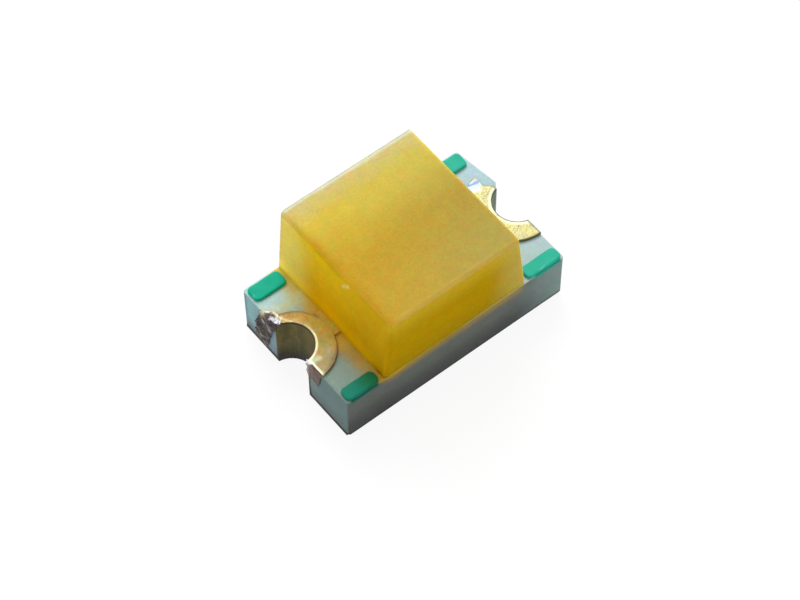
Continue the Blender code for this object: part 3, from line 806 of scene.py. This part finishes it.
def board_end(look, mottle):
    # Painted shade: the end is darker towards the front and towards its bottom.
    end = look.mix(look.step(look.y, -0.4, 0.5), colour(116, 140, 138), colour(152, 196, 200))
    end = look.mix(look.step(look.z + 0.05 * mottle, 0.22, 0.02), end, colour(108, 122, 122))
    bare = stroke(look, (-1.0, 0.235, 0.36), (-1.0, 0.275, 0.06), 0.11, 0.2, (12.0, 0.03))
    end = look.mix(0.7 * bare, end, colour(146, 164, 184))
    corner = look.step(look.y + 0.02 * mottle, 0.545, 0.600) * look.step(look.z, 0.05, 0.20)
    return look.mix(0.85 * corner, end, colour(84, 146, 146))


def board_side(look, mottle):
    # Painted shade: the sawn front side is dark, darker towards its bottom and paler towards the far end.
    drop = look.step(look.z + 0.05 * mottle, 0.36, 0.02)
    side = look.mix(drop, colour(112, 116, 110), colour(68, 70, 69))
    side = look.mix(look.step(look.x + 0.1 * mottle, 0.45, 1.0), side, colour(140, 162, 158))
    # Painted amber light from the block near the top of the side.
    amber_light_bleed = look.step(look.z + 0.02 * mottle, 0.345, 0.470)
    amber_light_bleed = amber_light_bleed * look.step(look.x, -0.70, -0.60) * look.step(look.x, 0.66, 0.56)
    return look.mix(0.8 * amber_light_bleed, side, colour(196, 156, 46))


def mask_run_over(look, mottle):
    """1 under the two front dabs, where their green ran over the edge before the saw came."""
    under_dab = look.step(abs(look.x + DAB_MIDDLE), 0.130, 0.110)
    under_dab = under_dab + look.step(abs(look.x - DAB_MIDDLE), 0.130, 0.110)
    return under_dab * look.step(look.z + 0.03 * mottle, 0.424, 0.440) * look.step(look.y, -0.605, -0.615)


# %% [markdown]
# ## The laminate's finish
#
# The faces are put together by height and by how near a point is to the sawn sides. The weave is
# two clouds of noise, one stretched along the board and one across it. It only shades the colour
# a little, because the real weave lies under a skin of resin.

# %% Laminate finish
def laminate_look():
    look = Finish("laminate", BOARD_TOP, Roughness=0.6, Subsurface_Weight=0.3)
    look.set("Subsurface Scale", 0.03 * MM)
    look.set("Subsurface Radius", (1.0, 0.9, 0.8))
    look.set("Specular IOR Level", 0.15)
    mottle = look.cloud(6.0, 3.0) - 0.5
    lit = look.step(look.y + 0.1 * mottle, -0.10, 0.45)
    back = look.step(look.y, BOARD_HIGH.y - 0.018, BOARD_HIGH.y - 0.006)
    sawn = look.larger(look.step(look.y, -0.608, -0.622), back)
    side = look.mix(sawn, board_end(look, mottle), board_side(look, mottle))
    run_over = mask_run_over(look, mottle)
    # The run-over green is painted darker at the near end, where it lies in shade.
    green = look.mix(look.step(look.x, -0.2, 0.2), colour(22, 108, 92), colour(26, 172, 148))
    side = look.mix(run_over, side, green)
    # Painted shade along the foot of the sides.
    side = look.mix(look.step(look.z, 0.06, 0.025), side, colour(30, 33, 33))
    # Painted amber light from the block on the front side below its foot.
    amber_light_spill = stroke(look, (-0.68, -0.625, 0.455), (-0.50, -0.625, 0.455), 0.035, 0.2, (12.0, 0.02))
    side = look.mix(0.6 * amber_light_spill, side, colour(216, 168, 30))
    tone = look.mix(look.step(look.z, 0.4515, 0.4560), side, board_top(look, mottle, lit))
    tone = look.mix(run_over, tone, green)
    weave = 0.5 * look.cloud((60.0, 9.0, 30.0)) + 0.5 * look.cloud((9.0, 60.0, 30.0)) - 0.5
    shaded = look.mix(1.0, tone, colour(226, 230, 230), "MULTIPLY")
    tone = look.mix(0.5 + 0.8 * weave, shaded, tone)
    tone = speckled(look, tone, 55.0, 0.40, 1.02)
    look.set("Base Color", speckled(look, tone, 12.0, 0.22))
    look.set("Normal", look.bump(look.cloud(60.0, 3.0, 0.7), 0.0012, look.bump(mottle, 0.004)))
    return look.done()


# %% [markdown]
# ## The board
#
# A copy of the packed board with its edges broken. Triangles that lie in one plane are joined
# first, so that the bevel meets whole faces. The saw's marks and the cut fibres are too fine to
# model at this size, so they are left to the bump of the finish.

# %% The board
FLAT_ANGLE = math.radians(1)
BOARD_EDGE = 0.005
BOARD_EDGE_STEPS = 2
BOARD_SHARP = math.radians(40)


def flat_faces_joined(work):
    bmesh.ops.dissolve_limit(work, angle_limit=FLAT_ANGLE, verts=work.verts, edges=work.edges)
    return work


def edges_broken(work):
    """The same shape with its sharp edges bevelled."""
    thing = as_object(work, "bevelled")
    modifier = thing.modifiers.new("broken edges", "BEVEL")
    modifier.width = BOARD_EDGE
    modifier.segments = BOARD_EDGE_STEPS
    modifier.limit_method = "ANGLE"
    modifier.angle_limit = BOARD_SHARP
    return as_seen(thing)


board = edges_broken(flat_faces_joined(packed_copy("board")))
show("laminate_board", board, laminate_look(), "board")

# %% [markdown]
# ## Gold plating round a half hole
#
# Both terminals are one piece of gold-plated copper each. A mirror shows its surroundings, and
# these are white on all sides, so a plain metal would look flat. What the eye reads on the real
# plating is partly its history, such as tarnish, and partly painted light: a pale highlight on
# the rim, and painted shade on the dark drilled wall. Each of them follows the half hole, so the
# paint is laid in rings: `distance` gives how far a point is from the hole's centre. It works on
# numbers and on sockets alike.

# %% Places round a half hole, and its wall
NEAR_HOLE = Vector((-1.026, 0.020))
FAR_HOLE = Vector((1.045, -0.035))
NEAR_LAND = Vector((-1.0, -0.025))
NEAR_LAND_RADIUS = 0.310
FAR_LAND = Vector((1.0, -0.015))
FAR_LAND_RADIUS = 0.348
LAND_TOP = box_mm("cathode_terminal")[1].z
WALL_RADIUS = 0.205


def distance(x, y, centre):
    across = x - centre.x
    along = y - centre.y
    return (across * across + along * along) ** 0.5


def hole_wall(look, ring):
    """1 on the drilled wall, below the land."""
    below = look.step(look.z, LAND_TOP - 0.010, LAND_TOP - 0.020)
    return below * look.step(ring, WALL_RADIUS, WALL_RADIUS - 0.005)


def drill_marks(look, low, high, dark, light):
    """The colour of a wall that the drill left streaked from top to bottom."""
    streaks = look.cloud((22.0, 22.0, 3.0), 3.0)
    return look.mix(look.step(streaks, low, high), dark, light)


print("top of the gold lands, in mm:", round(LAND_TOP, 3))

# %% [markdown]
# ## The worn end
#
# At this end the plating is blotched, veined and scratched, and amber light from the block is
# painted on its inner part. The blotches are slow noise, and every scratch that can be told apart
# is a brush stroke of its own, as are the painted highlights.

# %% Worn gold, the land
def worn_land(look, mottle, amber_light_inboard):
    """The land's gold: paler and duller in front, redder behind, and painted amber light beside the block.
    """
    uneven = 0.05 * (mottle - 0.5)
    tone = look.mix(look.step(mottle, 0.35, 0.65), colour(158, 142, 46), colour(176, 158, 62))
    dusty = look.mix(look.step(mottle, 0.4, 0.6), colour(162, 146, 84), colour(184, 166, 124))
    tone = look.mix(look.step(look.y + uneven, -0.10, -0.20), tone, dusty)
    blush = look.step(look.cloud(12.0, 2.0, 0.5, 1.0), 0.52, 0.62)
    tone = look.mix(0.5 * blush, tone, colour(176, 144, 106))
    tone = look.mix(0.8 * look.step(look.y + uneven, 0.04, 0.14), tone, colour(196, 150, 62))
    return look.mix(0.95 * amber_light_inboard, tone, colour(218, 176, 24))


def worn_scratches(look, tone):
    """Scuffs, ticks, one pit, dark veins, a dull mark and a painted glare in front of the hole, and a pale
    line painted as a highlight.
    """
    scuff_and_highlight = stroke(look, (-0.95, 0.265), (-0.80, 0.235), 0.030, 0.1, (14.0, 0.03))
    tone = look.mix(0.75 * scuff_and_highlight, tone, colour(148, 112, 90))
    # A pale cream line painted as a highlight.
    scuff_and_highlight = stroke(look, (-0.930, 0.244), (-0.901, 0.166), 0.020, 0.1, (14.0, 0.03))
    tone = look.mix(0.7 * scuff_and_highlight, tone, colour(236, 222, 160))
    tick = stroke(look, (-0.875, 0.262), (-0.84, 0.262), 0.016, 0.2, (14.0, 0.03))
    tone = look.mix(0.8 * tick, tone, colour(96, 66, 20))
    tick = stroke(look, (-0.775, 0.195), (-0.735, 0.150), 0.010, 0.2, (20.0, 0.015))
    tone = look.mix(0.7 * tick, tone, colour(120, 84, 30))
    pit = stroke(look, (-0.955, -0.225), (-0.975, -0.200), 0.014, 0.2, (14.0, 0.03))
    tone = look.mix(0.7 * pit, tone, colour(120, 84, 72))
    vein = look.step(abs(look.cloud(24.0, 3.0, 0.6, 1.5) - 0.5), 0.022, 0.006)
    tone = look.mix(0.7 * vein * look.step(look.y, 0.12, 0.18), tone, colour(84, 60, 30))
    dull = stroke(look, (-0.96, -0.275), (-0.85, -0.265), 0.09, 0.1, (14.0, 0.04))
    tone = look.mix(0.6 * dull, tone, colour(142, 124, 80))
    # Painted glare in front of the hole.
    glare = stroke(look, (-0.985, -0.198), (-0.930, -0.205), 0.038, 0.1, (20.0, 0.02))
    return look.mix(0.45 * glare, tone, colour(226, 234, 208))


# %% Worn gold, its edges and the hole
def worn_edges(look, tone, ring, reach):
    """The rolled rim's painted highlight, the sawn cut's painted highlight and glint, and the land's brown
    outer edge, tarnish with painted shade.
    """
    # Painted highlight on the rolled rim, brightest where it faces the light.
    rim = look.step(ring, 0.213, 0.204) * look.step(ring, 0.190, 0.197)
    tone = look.mix(rim * (0.1 + 0.8 * look.step(look.y, 0.10, -0.04)), tone, colour(250, 246, 214))
    # Painted highlight along the sawn cut, and a painted glint.
    cut = look.step(look.x, -0.974, -0.982) * look.step(look.y, -0.12, -0.16)
    tone = look.mix(0.75 * cut, tone, colour(246, 244, 214))
    glint = stroke(look, (-0.998, -0.158, 0.475), (-0.972, -0.140, 0.479), 0.020, 0.3)
    tone = look.mix(glint, tone, colour(242, 252, 255))
    # The land's outer edge: brown tarnish with painted shade.
    edge = look.step(reach, NEAR_LAND_RADIUS - 0.034, NEAR_LAND_RADIUS - 0.016)
    edge = edge * look.step(look.x, -0.97, -0.95) * look.step(look.x, -0.70, -0.73)
    return look.mix(0.5 * edge, tone, colour(126, 98, 56))


def worn_gold_look():
    look = Finish("worn_gold", LAND_TOP)
    mottle = look.cloud(11.0, 3.0)
    ring = distance(look.x, look.y, NEAR_HOLE) + 0.006 * (mottle - 0.5)
    reach = distance(look.x, look.y, NEAR_LAND) + 0.012 * (mottle - 0.5)
    amber_light_inboard = look.step(look.x + 0.06 * (mottle - 0.5), -0.84, -0.74)
    inside = hole_wall(look, ring)
    tone = worn_land(look, mottle, amber_light_inboard)
    # A pale band painted round the rim behind the hole, a painted highlight.
    pale = look.step(ring, 0.245, 0.205) * look.step(look.y, -0.05, 0.10)
    tone = look.mix(0.4 * pale, tone, colour(214, 190, 116))
    tone = worn_edges(look, worn_scratches(look, tone), ring, reach)
    tone = look.mix(look.step(ring, 0.194, 0.188), tone, colour(66, 50, 26))
    # The drilled wall: drill streaks in a tone made dark by painted shade, darker still towards the bottom.
    wall = drill_marks(look, 0.3, 0.75, colour(103, 97, 56), colour(127, 119, 71))
    wall = look.mix(look.step(look.z, 0.25, 0.02), wall, colour(48, 44, 28))
    tone = look.mix(inside, tone, wall)
    # Painted shade at the foot of the terminal.
    tone = look.mix(look.step(look.z, 0.035, 0.018), tone, colour(40, 36, 26))
    tone = speckled(look, tone, 30.0, 0.7, 0.80)
    look.set("Base Color", speckled(look, tone, 9.0, 0.5))
    look.set("Roughness", 0.40 + 0.2 * mottle + 0.2 * inside)
    look.set("Metallic", 0.40 + 0.2 * inside - 0.38 * amber_light_inboard)
    look.set("Normal", look.bump(look.cloud(60.0, 3.0, 0.7), 0.0010, look.bump(mottle, 0.006)))
    return look.done()


# %% [markdown]
# ## The bright end
#
# The other end kept its plating. It is pale gold with a fine dark grain, as electroplating leaves
# it, with one painted bluish glint and a scratch in it at the torn back corner, and painted amber
# light beside the block.

# %% Bright gold
def bright_land(look, mottle, grain):
    tone = look.mix(look.step(mottle, 0.3, 0.7), colour(145, 139, 86), colour(164, 161, 124))
    vein = look.step(abs(look.cloud(30.0, 2.0, 0.6, 2.0) - 0.5), 0.036, 0.010)
    vein = vein * look.step(mottle, 0.40, 0.50)
    speck = look.larger(vein, 0.7 * look.step(grain, 0.58, 0.64))
    tone = look.mix(0.8 * speck, tone, colour(92, 80, 40))
    bluish_glint = stroke(look, (0.790, 0.340), (0.880, 0.265), 0.080, 0.3, (26.0, 0.06))
    tone = look.mix(0.95 * bluish_glint, tone, colour(150, 166, 196))
    scratch = stroke(look, (0.862, 0.290), (0.925, 0.278), 0.018, 0.3, (20.0, 0.02))
    tone = look.mix(0.9 * scratch, tone, colour(92, 108, 150))
    # Painted amber light from the block on the land's inner part.
    return look.mix(0.7 * look.step(look.x, 0.78, 0.68), tone, colour(170, 144, 62))


def bright_gold_look():
    look = Finish("bright_gold", LAND_TOP, Metallic=0.85)
    mottle = look.cloud(11.0, 3.0)
    grain = look.cloud(75.0, 2.0, 0.6)
    ring = distance(look.x, look.y, FAR_HOLE) + 0.004 * (mottle - 0.5)
    reach = distance(look.x, look.y, FAR_LAND) + 0.006 * (mottle - 0.5)
    tone = bright_land(look, mottle, grain)
    tone = look.mix(0.6 * look.step(ring, 0.222, 0.206), tone, colour(180, 180, 160))
    # The front outer edge: brown tarnish with painted shade.
    edge = look.step(reach, FAR_LAND_RADIUS - 0.016, FAR_LAND_RADIUS - 0.006)
    tone = look.mix(0.6 * edge * look.step(look.y, 0.0, -0.1), tone, colour(84, 70, 36))
    tone = look.mix(0.8 * look.step(look.x, 0.984, 0.992), tone, colour(84, 92, 78))
    tone = look.mix(look.step(ring, 0.196, 0.190), tone, colour(70, 76, 62))
    # The drilled wall, streaked, in a darker tone of painted shade.
    wall = drill_marks(look, 0.35, 0.7, colour(92, 102, 84), colour(120, 132, 112))
    tone = look.mix(hole_wall(look, ring), tone, wall)
    # Painted shade at the foot of the terminal.
    tone = look.mix(look.step(look.z, 0.035, 0.018), tone, colour(60, 54, 38))
    look.set("Base Color", tone)
    look.set("Roughness", 0.34 + 0.2 * mottle)
    look.set("Normal", look.bump(grain, 0.0014, look.bump(mottle, 0.006)))
    return look.done()


# %% [markdown]
# ## The terminals
#
# The packed terminals already have the real form, with the rolled rim of the hole, so copies of
# them are used. At the near end the land's round edge is drawn in a little, as the photograph
# shows it. Their level faces are shaded flat: smooth shading would let the rim's rounding bend
# the reflections far into the land.

# %% Both terminals
GOLD_SHARP = 35
NEAR_LAND_PULL = 0.018
LAND_UNDERSIDE = 0.44
LEVEL = 0.998


def shade_level_faces_flat(piece):
    """Make an edge sharp where a level face meets another, so that no rounding shades into it."""
    beside = {}
    for face in piece.data.polygons:
        for key in face.edge_keys:
            beside.setdefault(key, set()).add(abs(face.normal.z) > LEVEL)
    for edge in piece.data.edges:
        if len(beside[edge.key]) == 2:
            edge.use_edge_sharp = True


def near_terminal():
    """The packed terminal, with the land's round edge drawn in a little towards the end."""
    work = packed_copy("cathode_terminal")
    for point in work.verts:
        reach = distance(point.co.x, point.co.y, NEAR_LAND)
        on_edge = reach > NEAR_LAND_RADIUS - 0.005 and point.co.z > LAND_UNDERSIDE
        if on_edge and BLOCK_LOW.x > point.co.x > NEAR_LAND.x:
            point.co.x -= NEAR_LAND_PULL * (point.co.x - NEAR_LAND.x) / NEAR_LAND_RADIUS
    return work


near_end = near_terminal()
far_end = packed_copy("anode_terminal")
near_end = show("plated_near_end", near_end, worn_gold_look(), "cathode_terminal", GOLD_SHARP)
far_end = show("plated_far_end", far_end, bright_gold_look(), "anode_terminal", GOLD_SHARP)
shade_level_faces_flat(near_end)
shade_level_faces_flat(far_end)

# %% [markdown]
# ## Solder mask
#
# The mask was a liquid: it stands in low dabs with soft shoulders. The packed dabs go through a
# fine net and are relaxed until they look poured. Relaxing draws a mesh in, so each dab is then
# stretched back to the size that it was packed with. The near front dab is painted in shade, and
# beside the block, where amber light from it falls, painted darker and yellower. Two thin painted
# highlights mirror the window.

# %% Mask finish
MASK_HIGHLIGHT_LEVEL = 0.475


def mask_look():
    look = Finish("green_mask", MASK_HIGHLIGHT_LEVEL, Roughness=0.35)
    look.set("Specular IOR Level", 0.04)
    mottle = look.cloud(9.0, 3.0) - 0.5
    near = look.mix(0.5 + 1.2 * mottle, colour(10, 165, 132), colour(28, 176, 148))
    far = look.mix(0.5 + 1.2 * mottle, colour(38, 171, 144), colour(56, 185, 160))
    tone = look.mix(look.step(look.x, -0.2, 0.2), near, far)
    # Painted shade on the near front dab, and beside the block a darker, yellower tone where amber light
    # from it falls.
    shade = look.step(look.x, 0.0, -0.4) * look.step(look.y, 0.0, -0.3)
    tone = look.mix(0.9 * shade, tone, colour(30, 126, 104))
    beside = shade * look.step(look.x + 0.05 * mottle, BLOCK_LOW.x - 0.22, BLOCK_LOW.x - 0.08)
    tone = look.mix(0.85 * beside, tone, colour(30, 110, 60))
    # Painted highlights: two thin lines where the window would mirror.
    highlight_near = stroke(look, (-0.975, 0.495), (-0.955, 0.560), 0.012, 0.2, (12.0, 0.02))
    highlight_far = stroke(look, (0.76, -0.605), (0.96, -0.600), 0.011, 0.2, (12.0, 0.02))
    tone = look.mix(0.5 * look.larger(highlight_near, highlight_far), tone, colour(190, 240, 228))
    look.set("Base Color", tone)
    look.set("Normal", look.bump(mottle, 0.004))
    return look.done()


# %% Poured dabs
MASK_SQUARE = 0.0045
MASK_WAVE = 0.003
MASK_RELAXED = 3


def even_net(work, square):
    """The same closed shape, laid anew with squares of one size."""
    thing = as_object(work, "net")
    modifier = thing.modifiers.new("net", "REMESH")
    modifier.mode = "VOXEL"
    modifier.voxel_size = square
    return as_seen(thing)


def relax(work, times):
    every_way = {"use_axis_x": True, "use_axis_y": True, "use_axis_z": True}
    for _ in range(times):
        bmesh.ops.smooth_vert(work, verts=work.verts, factor=0.5, **every_way)


def stretched_back(work, low, high):
    """Give a mesh that was relaxed the size that it was packed with."""
    for axis in range(3):
        reached = [point.co[axis] for point in work.verts]
        now_low, now_high = min(reached), max(reached)
        growth = (high[axis] - low[axis]) / (now_high - now_low)
        for point in work.verts:
            point.co[axis] = low[axis] + (point.co[axis] - now_low) * growth


def poured(place, normal):
    return MASK_WAVE * (0.6 + noise.noise(place * 14))


def make_masks():
    green = mask_look()
    for end in ("near", "far"):
        for side in ("front", "back"):
            node = f"solder_mask_mark_{end}_{side}"
            net = even_net(packed_copy(node), MASK_SQUARE)
            relax(net, MASK_RELAXED)
            stretched_back(net, *box_mm(node))
            press(net, poured)
            show(f"green_dab_{end}_{side}", net, green, node)
    dress("underside_mask", green)


make_masks()

# %% [markdown]
# ## Torn plating
#
# At the near end the saw caught the plating. On one side of the half hole it tore a strip loose,
# which folds over the land and hangs down crumpled. Its body is dark, and its folds have painted
# highlights where they mirror the window: silver by the hole, cream on top. The dark creases and
# the shadow under the lap are painted shade. On the other side the saw only wiped a thin brown
# film down the end.

# %% Torn plating finish
FOLD_LEVEL = 0.490
LAP_LEVEL = 0.496


def torn_folds(look, tone):
    """Painted highlights on the folds that catch the light, painted shade in a dark vein between them, and
    the painted shadow under the lap.
    """
    drift = (24.0, 0.03)
    ridge_highlight = stroke(look, (-1.035, 0.40, 0.435), (-1.02, 0.33, 0.480), 0.045, 0.3, drift)
    tone = look.mix(0.8 * ridge_highlight, tone, colour(150, 138, 92))
    ridge_highlight = stroke(look, (-1.01, 0.350), (-0.955, 0.320), 0.035, 0.3, drift)
    tone = look.mix(0.8 * ridge_highlight, tone, colour(222, 224, 206))
    silver_highlight = stroke(look, (-0.998, 0.272), (-0.964, 0.188), 0.026, 0.5, (30.0, 0.03))
    tone = look.mix(silver_highlight, tone, colour(232, 236, 248))
    cream_highlight = stroke(look, (-0.990, 0.370, LAP_LEVEL), (-0.950, 0.300, LAP_LEVEL), 0.040, 0.4, drift)
    # Painted highlight: a cream stroke running down towards the hole.
    drop = stroke(look, (-0.948, 0.300, LAP_LEVEL), (-0.936, 0.190, LAP_LEVEL), 0.032, 0.4, drift)
    tone = look.mix(0.9 * look.larger(cream_highlight, drop), tone, colour(238, 234, 200))
    # Painted shade in the dark creases between the folds.
    vein = look.step(abs(look.cloud(26.0, 2.0, 0.5, 1.0) - 0.5), 0.034, 0.010)
    tone = look.mix(0.6 * vein, tone, colour(60, 42, 46))
    shadow = stroke(look, (-1.030, 0.330, 0.450), (-1.022, 0.185, 0.462), 0.018, 0.2, drift)
    tone = look.mix(0.9 * shadow, tone, colour(52, 32, 40))
    fold_highlight = stroke(look, (-1.03, 0.335, 0.425), (-1.03, 0.250, 0.375), 0.013, 0.3, drift)
    tone = look.mix(fold_highlight, tone, colour(190, 186, 166))
    fleck_highlight = stroke(look, (-1.03, 0.375, 0.200), (-1.03, 0.355, 0.165), 0.016, 0.2, drift)
    return look.mix(0.8 * fleck_highlight, tone, colour(180, 176, 164))


def torn_look():
    look = Finish("torn_plating", FOLD_LEVEL, Metallic=0.45, Roughness=0.4)
    crease = look.cloud(16.0, 4.0, 0.6, 0.8)
    tone = look.mix(look.step(crease, 0.36, 0.66), colour(38, 32, 29), colour(72, 64, 54))
    tone = look.mix(look.step(look.cloud(12.0), 0.5, 0.65), tone, colour(80, 60, 66))
    # Painted highlights on the crease tops.
    tone = look.mix(0.7 * look.step(crease, 0.66, 0.72), tone, colour(176, 180, 168))
    look.set("Base Color", torn_folds(look, tone))
    look.set("Normal", look.bump(look.cloud(34.0, 3.0, 0.6, 0.6), 0.010, look.bump(crease, 0.020)))
    return look.done()


def smear_look():
    look = Finish("saw_smear", Metallic=0.4, Roughness=0.5)
    look.set("Specular IOR Level", 0.3)
    streak = look.cloud((20.0, 30.0, 6.0), 3.0)
    tone = look.mix(look.step(streak, 0.35, 0.65), colour(76, 56, 48), colour(116, 90, 80))
    edge = look.step(look.y + 0.03 * (streak - 0.5), -0.190, -0.170)
    tone = look.mix(0.75 * edge, tone, colour(176, 160, 164))
    glint = stroke(look, (-1.0, -0.195, 0.490), (-1.01, -0.178, 0.470), 0.028, 0.4, (20.0, 0.015))
    look.set("Base Color", look.mix(glint, tone, colour(242, 252, 255)))
    look.set("Normal", look.bump(streak, 0.006))
    return look.done()


# %% [markdown]
# ## A crumpled sheet
#
# Both are thin sheets. A sheet is a grid: one number runs down it and one across, a path says
# where a row lies, and a function of place crumples it. Down the sheet the path starts on the
# land, rolls over the sawn edge and drops. The crumple is made of cells: the distance to the
# nearest of many scattered points rises and falls in facets, as dented foil does.

# %% A sheet that rolls over the edge
FOIL = 0.005
END_FACE = -1.0
SHEET_ROWS = 64
SHEET_COLUMNS = 48
LAP_SHARE = 0.16
ROLL_SHARE = 0.12
RAGGED = 0.02


def path_over_edge(down, lap, drop):
    """Where a row lies: its X, its Z and the direction that faces out, from land to tip."""
    lap_share = LAP_SHARE if lap else 0.0
    if down < lap_share:
        return END_FACE + lap * (1 - down / lap_share), LAND_TOP, Vector((0.0, 0.0, 1.0))
    if down < lap_share + ROLL_SHARE:
        turn = math.pi / 2 * (down - lap_share) / ROLL_SHARE
        return END_FACE, LAND_TOP, Vector((-math.sin(turn), 0.0, math.cos(turn)))
    fall = (down - lap_share - ROLL_SHARE) / (1 - lap_share - ROLL_SHARE)
    return END_FACE, LAND_TOP - drop * fall, Vector((-1.0, 0.0, 0.0))


def dents(place, cells):
    """Facets like those of dented foil, 0 to about 1."""
    gaps, _ = noise.voronoi(place * cells, distance_metric="DISTANCE")
    return min(1.0, gaps[0])


@dataclass
class Sheet:
    """How one sheet lies and crumples; rows_at gives the two Y ends of a row."""

    rows_at: object
    lap: float
    lift: float
    drop: float
    dent: float
    cells: float
    seed: float

    def point(self, down, share, depth):
        """The place of a point, down the sheet and across it, so deep under its outer face."""
        x, z, out = path_over_edge(down, self.lap, self.drop)
        start, stop = self.rows_at(down)
        border = 3 if share < 0.5 else 7
        ragged = RAGGED * noise.noise(Vector((down * 9, self.seed, border)))
        y = start + (stop - start) * share + ragged * abs(2 * share - 1)
        place = Vector((x, y, z))
        relief = self.dent * dents(place + Vector((self.seed, 0, 0)), self.cells)
        relief = relief * min(1.0, 4 * (1 - down) + 0.3)
        tip = RAGGED * noise.noise(Vector((y * 20, self.seed, 0))) * down
        return place + out * (self.lift + relief - depth) + Vector((0, 0, tip))

    def layer(self, work, depth):
        """One face of the sheet as rows of points."""
        rows = []
        for down in range(SHEET_ROWS + 1):
            shares = [column / SHEET_COLUMNS for column in range(SHEET_COLUMNS + 1)]
            rows.append([work.verts.new(self.point(down / SHEET_ROWS, share, depth)) for share in shares])
        return rows

    def mesh(self):
        work = bmesh.new()
        outer, inner = self.layer(work, 0.0), self.layer(work, FOIL)
        for layer in (outer, inner):
            for upper, lower in zip(layer, layer[1:]):
                for column in range(SHEET_COLUMNS):
                    work.faces.new((upper[column], upper[column + 1], lower[column + 1], lower[column]))
        rims = list(zip(rim(outer), rim(inner)))
        for (outside, inside), (next_outside, next_inside) in zip(rims, rims[1:] + rims[:1]):
            work.faces.new((outside, next_outside, next_inside, inside))
        return work


def rim(layer):
    """The points round the border of a layer, in order."""
    right = [row[-1] for row in layer[1:]]
    left = [row[0] for row in layer[-2:0:-1]]
    return layer[0] + right + layer[-1][-2::-1] + left


# %% [markdown]
# ## The shred and the film
#
# The shred lies on the land in a narrow lap, widens as it rolls over the edge and narrows again
# towards its tip. The film is almost flat, and starts at the edge with no lap.

# %% Shred and film
LAP_END = 0.28


def shred_row(down):
    if down < LAP_END:
        return 0.195 - 0.018 * down / LAP_END, 0.300 + 0.09 * down / LAP_END
    fall = (down - LAP_END) / (1 - LAP_END)
    return 0.177 + 0.155 * fall**0.75, 0.390 + 0.08 * fall


def smear_row(down):
    return -0.345 + 0.06 * down, -0.165 + 0.01 * down - 0.05 * max(0.0, down - 0.7)


shred = Sheet(shred_row, lap=0.055, lift=0.006, drop=0.420, dent=0.030, cells=17, seed=1.7)
show("torn_shred", shred.mesh(), torn_look(), "torn_plating_shred", 30)
smear = Sheet(smear_row, lap=0.0, lift=0.0065, drop=0.20, dent=0.004, cells=14, seed=4.1)
show("smeared_film", smear.mesh(), smear_look(), "saw_smear", 40)

# %% [markdown]
# ## What is sealed inside
#
# The chip, its glue, the contacts and the wires can't be seen through the clouded resin. They
# still get finishes of their own, for whoever takes the block off: etched blue sapphire, glue
# full of silver flakes, and soft bright gold.

# %% Chip, glue, contacts and wires
def sapphire_look():
    look = Finish("sapphire", Roughness=0.08, Coat_Weight=0.5)
    etched = look.cloud(40.0)
    look.set("Base Color", look.mix(etched, colour(120, 140, 200), colour(160, 178, 224)))
    return look.done()


def glue_look():
    look = Finish("silver_glue", Roughness=0.45, Metallic=0.6)
    flakes = look.cloud(90.0)
    bright = look.step(flakes, 0.4, 0.6)
    look.set("Base Color", look.mix(bright, colour(190, 190, 186), colour(224, 224, 220)))
    look.set("Normal", look.bump(flakes, 0.002))
    return look.done()


def pure_gold_look():
    look = Finish("pure_gold", Metallic=1.0)
    drawn = look.cloud(120.0)
    look.set("Base Color", look.mix(drawn, colour(240, 204, 120), colour(252, 224, 150)))
    look.set("Roughness", 0.12 + 0.12 * drawn)
    return look.done()


dress("led_die", sapphire_look())
dress("die_glue", glue_look())
pure_gold = pure_gold_look()
for pole in ("cathode", "anode"):
    dress(f"{pole}_contact", pure_gold)
    dress(f"{pole}_wire", pure_gold)

# %% [markdown]
# ## The end
#
